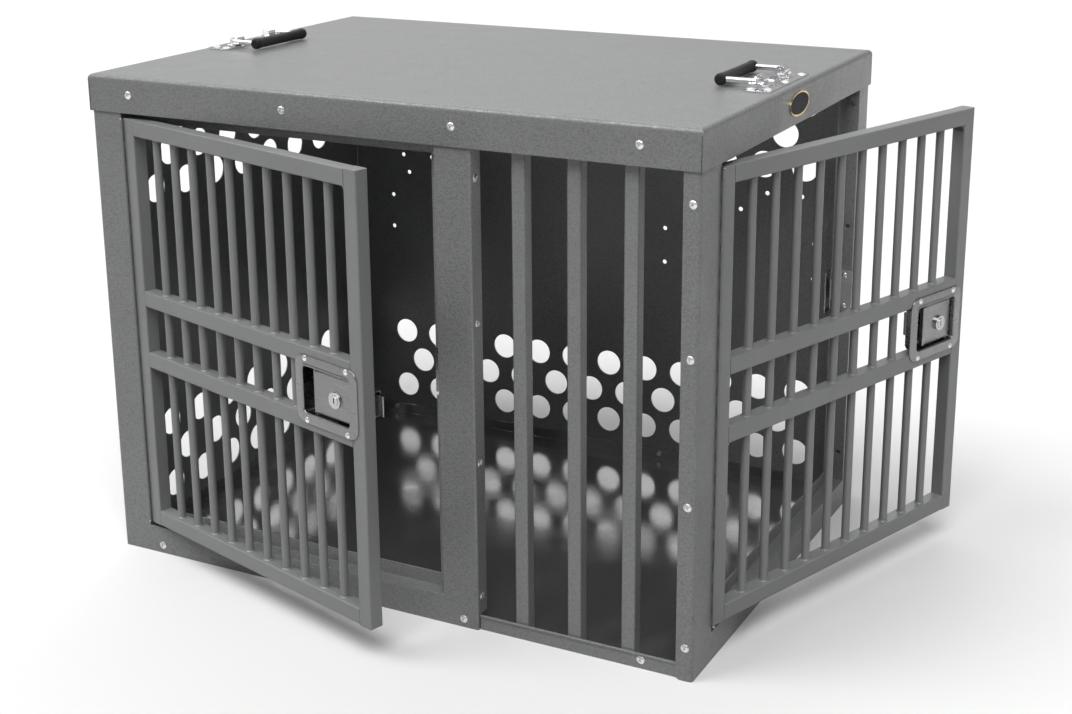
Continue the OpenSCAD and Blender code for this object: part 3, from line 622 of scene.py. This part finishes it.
def solids_of(node: str) -> list[Solid]:
    """The connected solids of a CAD node.

    Args:
        node: the node's name.

    Returns:
        One entry for each solid, in a steady order.
    """
    mesh = bmesh.new()
    mesh.from_mesh(frame["nodes"][node].data)
    bmesh.ops.remove_doubles(mesh, verts=mesh.verts, dist=MERGE_DISTANCE)
    mesh.verts.ensure_lookup_table()
    seen: set[int] = set()
    found = []
    for start in mesh.verts:
        if start.index in seen:
            continue
        seen.add(start.index)
        queue, members = [start], []
        while queue:
            vert = queue.pop()
            members.append(vert.co.copy())
            for edge in vert.link_edges:
                other = edge.other_vert(vert)
                if other.index not in seen:
                    seen.add(other.index)
                    queue.append(other)
        found.append(Solid(tuple(members)))
    mesh.free()
    return found


@dataclass(frozen=True)
class Ring:
    """One step of a pressed shape: half sizes, corner radius, and how far out and sideways it lies."""

    half: tuple[float, float]
    radius: float
    out: float
    along: float = 0.0

    def loop(self, mesh: bmesh.types.BMesh) -> list[bmesh.types.BMEdge]:
        """Adds the ring to a mesh, as an open loop of edges.

        Args:
            mesh: the mesh that it joins.

        Returns:
            The loop's edges.
        """
        verts = bmesh.ops.create_grid(mesh, x_segments=1, y_segments=1, size=1.0)["verts"]
        put(mesh, verts, Matrix.Diagonal((self.half[0], self.half[1], 1.0, 1.0)))
        corners = bmesh.ops.bevel(
            mesh, geom=verts, offset=self.radius, segments=CORNER_SEGMENTS, profile=0.5,
            affect="VERTICES", material=-1,
        )["verts"]
        put(mesh, corners, Matrix.Translation((self.along, 0.0, self.out)))
        face = corners[0].link_faces[0]
        edges = list(face.edges)
        bmesh.ops.delete(mesh, geom=[face], context="FACES_ONLY")
        return edges

    def moved(self, point: Vector, to: "Ring") -> Vector:
        """Where a point of this ring lies on another ring.

        Args:
            point: a point on one of this ring's corners.
            to: the other ring.

        Returns:
            The matching point.
        """
        sides = Vector((math.copysign(1.0, point.x - self.along), math.copysign(1.0, point.y)))
        turn = (point.xy - self.corner(sides)) / self.radius
        return (to.corner(sides) + turn * to.radius).to_3d() + Vector((0.0, 0.0, to.out))

    def corner(self, sides: Vector) -> Vector:
        """Centre of a corner's arc.

        Args:
            sides: the corner's signs along X and Y.

        Returns:
            The centre, in the ring's plane.
        """
        across, up = self.half[0] - self.radius, self.half[1] - self.radius
        return Vector((sides.x * across + self.along, sides.y * up))


def pressed(rings: list[Ring], closed: bool) -> bmesh.types.BMesh:
    """Makes a pressed sheet shape, extruded from ring to ring.

    Args:
        rings: the section's steps, in order.
        closed: whether the last ring joins the first, or is filled with a face.

    Returns:
        The shape, lying in the XY plane and facing +Z.
    """
    mesh = bmesh.new()
    edges = rings[0].loop(mesh)
    for last, ring in zip(rings, rings[1:] + (rings[:1] if closed else [])):
        grown = bmesh.ops.extrude_edge_only(mesh, edges=edges)["geom"]
        edges = [part for part in grown if isinstance(part, bmesh.types.BMEdge)]
        for vert in (part for part in grown if isinstance(part, bmesh.types.BMVert)):
            vert.co = last.moved(vert.co, ring)
    if not closed:
        bmesh.ops.holes_fill(mesh, edges=edges, sides=0)
    return mesh


# ---------------------------------------------------------------- sub-assemblies


@dataclass
class Shell:
    """The crate's sheet-metal body with its fixed bars, strikes, hinges and rivets."""

    body: str = "crate"
    seam_width: float = 0.7 * MM
    seam_proud: float = 0.12 * MM
    seam_inset: float = 1.6 * MM
    core_radius: float = 1.25 * MM
    core_length: float = 1.1 * MM
    core_sunk: float = 0.95
    core_taper: float = 0.8
    rim_share: float = 0.99
    seam_drop: float = 7 * MM
    seam_rounding: float = 0.8

    def dress(self) -> None:
        """Gives each carried-over node of the body its finish."""
        nodes = frame["nodes"]
        panels = ("back_panel", "left_panel", "front_surround", "side_surround", "lid", "front_header")
        for name in panels:
            BODY_PAINT.dress(nodes[name])
        for name in ("front_bar_left", "front_bar_middle", "front_bar_right", "front_sill_rail"):
            BAR_PAINT.dress(nodes[name])
        PAN_PAINT.dress(nodes["floor_pan"])
        for side in ("front", "side"):
            STAINLESS.dress(nodes[f"{side}_strike"])
            HINGE_PAINT.dress(nodes[f"{side}_hinge_frame_leaf"])
            STAINLESS.dress(nodes[f"{side}_hinge_pin"])
        RIVET_METAL.dress(nodes["body_rivets"])

    def seams(self) -> bpy.types.Object:
        """Builds a thin dark strip at each closed corner seam of the lid's skirt, one at each end of its
        long sides: painted shade for the narrow gap where the folded flanges meet.

        Returns:
            The strips of painted seam shade, as one piece.
        """
        low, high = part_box("lid")
        top = high.z - self.seam_drop
        mesh = bmesh.new()
        for x, inward in ((low.x, 1.0), (high.x, -1.0)):
            for y, outward in ((low.y, -1.0), (high.y, 1.0)):
                made = bmesh.ops.create_cube(mesh, size=1.0)["verts"]
                size = Matrix.Diagonal((self.seam_width, 2 * self.seam_proud, top - low.z, 1.0))
                centre = Vector((x + inward * self.seam_inset, y, (top + low.z) / 2))
                put(mesh, made, Matrix.Translation(centre) @ size)
        bmesh.ops.bevel(
            mesh, geom=list(mesh.edges), offset=self.seam_proud * self.seam_rounding, segments=2,
            profile=0.5, affect="EDGES", material=-1,
        )
        # The dark strips are painted shade in the seam gaps.
        piece = finished(mesh, "lid_corner_seam_shade", SEAM_SHADOW)
        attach(piece, self.body)
        return piece

    def rivet_cores(self) -> bpy.types.Object:
        """Builds the broken-off mandrel left in the middle of each rivet's head.

        Returns:
            The mandrels, as one piece.
        """
        mesh = bmesh.new()
        for rivet in solids_of("body_rivets"):
            self._core(mesh, rivet)
        piece = finished(mesh, "rivet_cores", STAINLESS)
        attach(piece, self.body)
        return piece

    def _core(self, mesh: bmesh.types.BMesh, rivet: Solid) -> None:
        """Adds one mandrel stub to a mesh, in the recess of a rivet's head.

        Args:
            mesh: the mesh that it joins.
            rivet: the rivet's solid.
        """
        size = rivet.high - rivet.low
        axis = max((0, 1), key=lambda i: abs(size[i] - size[2]))
        across = [i for i in range(3) if i != axis]
        widest = max(self._radius(p, rivet.centre, across) for p in rivet.points)
        edge = widest * self.rim_share
        rim = [p[axis] for p in rivet.points if self._radius(p, rivet.centre, across) > edge]
        outward = 1.0 if sum(rim) / len(rim) > rivet.centre[axis] else -1.0
        face = rivet.high[axis] if outward > 0 else rivet.low[axis]
        direction = Vector([outward if i == axis else 0.0 for i in range(3)])
        at = rivet.centre.copy()
        at[axis] = face - outward * self.core_length * self.core_sunk
        made = bmesh.ops.create_cone(
            mesh, cap_ends=True, segments=12, radius1=self.core_radius,
            radius2=self.core_radius * self.core_taper, depth=self.core_length,
        )["verts"]
        put(mesh, made, aimed(direction, at))

    @staticmethod
    def _radius(point: Vector, centre: Vector, across: list[int]) -> float:
        """Distance of a point from an axis through a centre."""
        return math.hypot(*(point[i] - centre[i] for i in across))


@dataclass
class Door:
    """A barred door with its hinge leaf and latch.

    Each pair in a list of steps is a growth past the cup, or a shrinking of the plate, and a height,
    both in millimetres.
    """

    side: str
    plate_t: float = 1.6 * MM
    plate_corner: float = 13 * MM
    cup_half: tuple[float, float] = (37.8 * MM, 26.3 * MM)
    cup_corner: float = 5 * MM
    cup_depth: float = 14.3 * MM
    cup_wall: float = 1.2 * MM
    slot_half: tuple[float, float] = (7.2 * MM, 8.0 * MM)
    slot_along: float = 29.25 * MM
    slot_corner: float = 1 * MM
    plate_steps: tuple[Pair, ...] = ((0.0, -0.9), (0.25, -0.25), (0.9, 0.0))
    rim_steps: tuple[Pair, ...] = (
        (3.8, 0.0), (3.0, 0.2), (2.3, 0.65), (1.5, 0.8), (0.7, 0.55), (0.15, -0.1), (0.0, -1.0)
    )
    floor_steps: tuple[Pair, ...] = ((0.0, 2.0), (-0.6, 0.6), (-2.0, 0.0))
    back_steps: tuple[Pair, ...] = ((-1.0, -1.2), (1.2, 1.2))
    skin_proud: float = 0.35 * MM
    skin_over: float = 0.4 * MM
    skin_gap: float = 3.4 * MM
    skin_corner: float = 2.4 * MM
    corner_share: float = 0.9
    lock_proud: float = 3 * MM
    flange: float = 5.5 * MM
    bend_r: float = 1.7 * MM
    bend_degrees: tuple[int, ...] = (0, 22, 45, 68, 90)
    lip: float = 9.5 * MM
    lip_rise: float = 1.9 * MM
    bead_radius: float = 6.1 * MM
    bead_height: float = 1.6 * MM
    bead_segments: int = 16
    bead_clearance: float = 1.01

    def dress(self) -> None:
        """Gives each carried-over node of the door and its latch its finish."""
        nodes = frame["nodes"]
        rails = ("top_rail", "bottom_rail", "upper_cross_rail", "lower_cross_rail")
        for part in ("hinge_stile", "latch_stile", *rails, "bars"):
            DOOR_PAINT.dress(nodes[f"{self.side}_door_{part}"])
        HINGE_PAINT.dress(nodes[f"{self.side}_hinge_door_leaf"])
        for part in ("latch_dish", "latch_case", "paddle_pin", "paddle_spring", "paddle", "bolt"):
            STAINLESS.dress(nodes[f"{self.side}_{part}"])
        RIVET_METAL.dress(nodes[f"{self.side}_latch_rivets"])
        for part in ("lock_cylinder", "lock_plug"):
            LOCK_METAL.dress(nodes[f"{self.side}_{part}"])

    def own_frame(self) -> Matrix:
        """Finds the door's own directions: X towards its free edge, Y up and Z outwards.

        Returns:
            The matrix from those directions, on the hinge, to the scene, with the door as it rests.
        """
        swing = next(j for j in frame["joints"] if j["name"] == f"{self.side}_door_swing")
        opened = Matrix.Rotation(math.radians(swing["range_deg"][0]), 4, "Z")
        shut = Matrix.Rotation(math.pi / 2, 4, "X")
        if self.side == "side":
            shut = Matrix.Rotation(math.pi / 2, 4, "Z") @ shut
        return Matrix.Translation(swing["pos_m"]) @ opened @ shut

    def measured(self, node: str) -> Solid:
        """Measures a node in the door's own frame.

        Args:
            node: the node's name, without the door's.

        Returns:
            The node's points.
        """
        back = self.own_frame().inverted()
        vertices = frame["nodes"][f"{self.side}_{node}"].data.vertices
        return Solid(tuple(back @ v.co for v in vertices))

    def dish(self) -> bpy.types.Object:
        """Builds the latch's dish: plate, rolled rim, deep cup and the slot for the paddle's arm.

        Returns:
            The dish.
        """
        node = self.measured("latch_dish")
        half = (node.high - node.low) / 2
        back = node.low.z + self.cup_depth + self.cup_wall
        place = self.own_frame() @ Matrix.Translation((node.centre.x, node.centre.y, back))
        cup, corner, face = self.cup_half, self.cup_corner, self.plate_t

        def about(grow: float, out: float) -> Ring:
            """A step this much larger than the cup."""
            return Ring((cup[0] + grow * MM, cup[1] + grow * MM), corner + grow * MM, out)

        def edge(shrink: float, out: float) -> Ring:
            """A step this much smaller than the plate."""
            less = shrink * MM
            return Ring((half.x - less, half.y - less), self.plate_corner - less, out)

        depths = (self.cup_depth, self.cup_depth + self.cup_wall)
        rings = [
            edge(0.0, 0.0),
            *(edge(less, face + rise * MM) for less, rise in self.plate_steps),
            *(about(grow, face + rise * MM) for grow, rise in self.rim_steps),
            *(about(grow, rise * MM - self.cup_depth) for grow, rise in self.floor_steps),
            *(Ring(self.slot_half, self.slot_corner, -deep, self.slot_along) for deep in depths),
            *(about(grow, rise * MM - self.cup_depth) for grow, rise in self.back_steps),
            about(self.back_steps[-1][0], 0.0),
        ]
        mesh = pressed(rings, closed=True)
        put(mesh, list(mesh.verts), place)
        piece = finished(mesh, f"{self.side}_latch_pressing", STAINLESS, smooth_angle=50.0)
        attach(piece, f"{self.side}_door")
        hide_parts(f"{self.side}_latch_dish")
        return piece

    def paddle_skin(self) -> bpy.types.Object:
        """Builds the paddle's front, with edges folded back and a lip bent out at its free end.

        Returns:
            The paddle's front.
        """
        node = self.measured("paddle")
        dish = self.measured("latch_dish")
        front = self.measured("lock_cylinder").high.z - self.lock_proud + self.skin_proud
        low = node.low.x - self.skin_over
        high = dish.centre.x + self.cup_half[0] - self.skin_gap
        half = Vector(((high - low) / 2, (node.high.y - node.low.y) / 2 + self.skin_over))
        place = self.own_frame() @ Matrix.Translation(((low + high) / 2, node.centre.y, front))
        r = self.bend_r
        rings = [Ring((half.x, half.y), self.skin_corner, -self.flange)]
        for angle in (math.radians(degrees) for degrees in self.bend_degrees):
            less, drop = r * (1 - math.cos(angle)), r * (1 - math.sin(angle))
            corner = self.skin_corner - less * self.corner_share
            rings.append(Ring((half.x - less, half.y - less), corner, -drop))
        mesh = pressed(rings, closed=False)
        bend = self.lip - half.x
        bmesh.ops.bisect_plane(
            mesh, geom=list(mesh.verts) + list(mesh.edges) + list(mesh.faces), dist=MERGE_DISTANCE,
            plane_co=(bend, 0.0, 0.0), plane_no=(1.0, 0.0, 0.0),
        )
        for vert in mesh.verts:
            if vert.co.x < bend:
                vert.co.z += (bend - vert.co.x) / self.lip * self.lip_rise
        put(mesh, list(mesh.verts), place)
        piece = finished(mesh, f"{self.side}_paddle_front", STAINLESS, smooth_angle=40.0)
        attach(piece, f"{self.side}_paddle")
        return piece

    def weld_beads(self) -> bpy.types.Object:
        """Builds the small fillet of weld and paint at each end of each round bar.

        Returns:
            The fillets, as one piece.
        """
        mesh = bmesh.new()
        for bar in solids_of(f"{self.side}_door_bars"):
            radius = (bar.high.x - bar.low.x) / 2
            for z, up in ((bar.low.z, 1.0), (bar.high.z, -1.0)):
                made = bmesh.ops.create_cone(
                    mesh, cap_ends=False, segments=self.bead_segments, radius1=self.bead_radius,
                    radius2=radius * self.bead_clearance, depth=self.bead_height,
                )["verts"]
                middle = Vector((bar.centre.x, bar.centre.y, z + up * self.bead_height / 2))
                put(mesh, made, aimed(Vector((0.0, 0.0, up)), middle))
                rings = [e for e in mesh.edges if e.is_boundary and all(v in made for v in e.verts)]
                bmesh.ops.holes_fill(mesh, edges=rings, sides=0)
        piece = finished(mesh, f"{self.side}_door_weld_beads", DOOR_PAINT, smooth_angle=60.0)
        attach(piece, f"{self.side}_door")
        return piece


@dataclass
class Handle:
    """A fold-down handle on the lid, with a moulded grip."""

    side: str
    collar: float = 0.55 * MM
    collar_length: float = 9 * MM
    collar_round: float = 3.2 * MM
    collar_slope: float = 1 * MM
    arc_steps: int = 6
    waist_share: float = 0.985
    segments: int = 40

    def dress(self) -> None:
        """Gives the handle's carried-over nodes their finish."""
        nodes = frame["nodes"]
        for part in ("handle_plate", "bail"):
            CHROME.dress(nodes[f"{self.side}_{part}"])

    def grip(self) -> bpy.types.Object:
        """Builds the grip: a waisted tube with a rounded collar at each end.

        Returns:
            The grip.
        """
        low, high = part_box(f"{self.side}_grip")
        radius = (high.z - low.z) / 2
        half = (high.y - low.y) / 2
        profile = self._profile(radius, half)
        mesh = bmesh.new()
        verts = [mesh.verts.new((r, 0.0, z)) for r, z in profile]
        edges = [mesh.edges.new(pair) for pair in zip(verts, verts[1:])]
        bmesh.ops.spin(
            mesh, geom=verts + edges, axis=(0.0, 0.0, 1.0), cent=(0.0, 0.0, 0.0), angle=math.tau,
            steps=self.segments, use_merge=True, use_duplicate=False,
        )
        put(mesh, list(mesh.verts), aimed(Vector((0.0, 1.0, 0.0)), (low + high) / 2))
        piece = finished(mesh, f"{self.side}_grip_cover", GRIP_RUBBER, smooth_angle=50.0)
        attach(piece, f"{self.side}_handle")
        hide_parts(f"{self.side}_grip")
        return piece

    def _profile(self, radius: float, half: float) -> list[tuple[float, float]]:
        """Half outline of the grip, from one end's centre to the other's.

        Args:
            radius: the largest radius, at the collars.
            half: half of the grip's length.

        Returns:
            Points as (radius, height along the grip).
        """
        waist = radius - self.collar
        collar_end, round_r = half - self.collar_length, self.collar_round
        arc = [
            (radius - round_r + round_r * math.sin(a), half - round_r + round_r * math.cos(a))
            for a in (math.radians(90 * i / self.arc_steps) for i in range(self.arc_steps + 1))
        ]
        step = [(radius, collar_end + self.collar_slope), (waist, collar_end)]
        upper = [(0.0, half), *arc, *step, (waist * self.waist_share, 0.0)]
        return upper + [(r, -z) for r, z in reversed(upper[:-1])]


@dataclass
class Badge:
    """The oval plate on the lid's right skirt, with a raised rim and a plain enamelled field."""

    rim: float = 1.7 * MM
    rim_overlap: float = 1.05
    recess: float = 0.45 * MM
    field_sunk: float = 0.75
    segments: int = 64

    def build(self) -> list[bpy.types.Object]:
        """Makes the gilt rim and its dark field.

        Returns:
            The two pieces.
        """
        low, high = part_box("badge_plate")
        centre = (low + high) / 2
        half_y, half_z, thick = (high.y - low.y) / 2, (high.z - low.z) / 2, high.x - low.x
        mesh = bmesh.new()
        made = bmesh.ops.create_cone(
            mesh, cap_ends=True, segments=self.segments, radius1=1.0, radius2=1.0, depth=thick
        )["verts"]
        put(mesh, made, Matrix.Diagonal((half_y, half_z, 1.0, 1.0)))
        face = max(mesh.faces, key=lambda f: f.calc_center_median().z)
        bmesh.ops.inset_region(
            mesh, faces=[face], thickness=self.rim, depth=0.0, use_even_offset=True
        )
        bmesh.ops.translate(mesh, vec=(0.0, 0.0, -self.recess), verts=face.verts)
        turned = aimed(Vector((1.0, 0.0, 0.0)), centre)
        put(mesh, list(mesh.verts), turned)
        plate = finished(mesh, "badge_rim", BADGE_RIM, smooth_angle=50.0)
        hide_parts("badge_plate")

        mesh = bmesh.new()
        made = bmesh.ops.create_cone(
            mesh, cap_ends=True, segments=self.segments, radius1=1.0, radius2=1.0, depth=self.recess
        )["verts"]
        inside = self.rim * self.rim_overlap
        put(mesh, made, Matrix.Diagonal((half_y - inside, half_z - inside, 1.0, 1.0)))
        lifted = Matrix.Translation((0.0, 0.0, thick / 2 - self.recess * self.field_sunk))
        put(mesh, list(mesh.verts), turned @ lifted)
        field = finished(mesh, "badge_field", BADGE_FIELD, smooth_angle=50.0)
        for piece in (plate, field):
            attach(piece, "crate")
        return [plate, field]


# ---------------------------------------------------------------- studio


@dataclass(frozen=True)
class Lamp:
    """A far, wide, soft lamp.

    Its bearing is in degrees from the front, positive towards the left, and its height in degrees
    above the floor.
    """

    name: str
    power: float
    softness: float
    bearing: float
    height: float

    def hang(self) -> None:
        """Adds the lamp to the scene, aimed at the crate."""
        light = bpy.data.lights.new(self.name, "SUN")
        light.energy = self.power
        light.angle = math.radians(self.softness)
        thing = bpy.data.objects.new(self.name, light)
        bpy.context.scene.collection.objects.link(thing)
        bearing, height = math.radians(self.bearing), math.radians(self.height)
        ray = Vector((
            math.cos(height) * math.sin(bearing),
            math.cos(height) * math.cos(bearing),
            -math.sin(height),
        ))
        thing.rotation_mode = "QUATERNION"
        thing.rotation_quaternion = ray.to_track_quat("-Z", "Y")


@dataclass(frozen=True)
class Window:
    """A round soft patch of brightness in the sky, for metals to reflect.

    Its bearing and height are as a lamp's, and its radius is in degrees.
    """

    bearing: float
    height: float
    radius: float
    power: float
    full_share: float = 0.8

    def glow(self, graph: Graph, towards: bpy.types.NodeSocket) -> bpy.types.NodeSocket:
        """The patch's brightness in a direction.

        Args:
            graph: the world's tree.
            towards: the direction looked in.

        Returns:
            The socket that gives the brightness.
        """
        bearing, height = math.radians(self.bearing), math.radians(self.height)
        level = math.cos(height)
        middle = (-level * math.sin(bearing), -level * math.cos(bearing), math.sin(height))
        both = {0: towards, 1: middle}
        near = graph.add("VectorMath", both, operation="DOT_PRODUCT").outputs["Value"]
        full = self.radius * self.full_share
        limits = (math.cos(math.radians(self.radius)), math.cos(math.radians(full)))
        return graph.ramp(near, limits, (0.0, self.power))


@dataclass(frozen=True)
class Studio:
    """The floor, the lights and the camera."""

    floor_size: float = 60.0
    sky: float = 0.10
    mirrored: float = 0.32
    backdrop: float = 0.95
    windows: tuple[Window, ...] = (
        Window(bearing=50.0, height=55.0, radius=17.0, power=5.5),
        Window(bearing=-80.0, height=30.0, radius=12.0, power=0.35),
        Window(bearing=75.0, height=26.0, radius=13.0, power=0.9),
        Window(bearing=180.0, height=50.0, radius=20.0, power=0.9),
    )
    key: Lamp = Lamp("key", power=1.95, softness=40.0, bearing=-30.0, height=58.0)
    fill: Lamp = Lamp("fill", power=0.7, softness=60.0, bearing=140.0, height=45.0)
    camera_place: tuple[float, float, float] = (0.979, -1.7714, 0.9147)
    camera_azimuth: float = -27.51
    camera_elevation: float = 15.71
    camera_roll: float = -0.41
    sensor: float = 36.0
    lens: float = 57.18
    shift_up: float = -0.0905

    def floor(self) -> None:
        """A wide pale floor under the crate."""
        mesh = bmesh.new()
        bmesh.ops.create_grid(mesh, x_segments=1, y_segments=1, size=self.floor_size / 2)
        thing = finished(mesh, "floor", FLOOR)

    def lights(self) -> None:
        """A soft key from the front right, a weak fill from behind, and a sky that looks white."""
        self.key.hang()
        self.fill.hang()
        world = bpy.data.worlds.new("studio_sky")
        bpy.context.scene.world = world
        world.use_nodes = True
        graph = Graph(world.node_tree)
        towards = graph.add("TexCoord").outputs["Generated"]
        lit: object = self.sky
        for window in self.windows:
            lit = graph.maths("ADD", window.glow(graph, towards), lit)
        path = graph.add("LightPath").outputs
        lit = graph.maths("ADD", graph.maths("MULTIPLY", path["Is Glossy Ray"], self.mirrored), lit)
        inputs = {0: path["Is Camera Ray"], 2: lit, 3: self.backdrop}
        strength = graph.add("Mix", inputs, data_type="FLOAT").outputs[0]
        glow = graph.add("Background", {"Color": (1.0, 1.0, 1.0, 1.0), "Strength": strength})
        out = graph.add("OutputWorld")
        graph.feed(out.inputs["Surface"], glow.outputs[0])

    def camera(self) -> None:
        """A camera a little to the right of the front, looking down on the lid."""
        data = bpy.data.cameras.new("camera")
        data.sensor_width = self.sensor
        data.lens = self.lens
        data.shift_y = self.shift_up
        thing = bpy.data.objects.new("camera", data)
        bpy.context.scene.collection.objects.link(thing)
        azimuth, elevation = math.radians(self.camera_azimuth), math.radians(self.camera_elevation)
        ahead = Vector((
            math.sin(azimuth) * math.cos(elevation),
            math.cos(azimuth) * math.cos(elevation),
            -math.sin(elevation),
        ))
        thing.location = self.camera_place
        thing.rotation_mode = "QUATERNION"
        roll = Quaternion((0.0, 0.0, 1.0), math.radians(self.camera_roll))
        thing.rotation_quaternion = ahead.to_track_quat("-Z", "Y") @ roll
        bpy.context.scene.camera = thing


def main() -> None:
    """Builds the studio and every sub-assembly in order."""
    logging.basicConfig(level=logging.INFO, format="%(name)s: %(message)s")
    bpy.context.scene.view_settings.view_transform = "Standard"
    studio = Studio()
    studio.camera()
    studio.lights()
    studio.floor()

    shell = Shell()
    shell.dress()
    made = [shell.seams(), shell.rivet_cores()]
    for side in ("front", "side"):
        door = Door(side)
        door.dress()
        made += [door.weld_beads(), door.dish(), door.paddle_skin()]
    for side in ("left", "right"):
        handle = Handle(side)
        handle.dress()
        made.append(handle.grip())
    made += Badge().build()
    for piece in made:
        LOG.info("%s: %d faces", piece.name, len(piece.data.polygons))


if __name__ == "__main__":
    main()
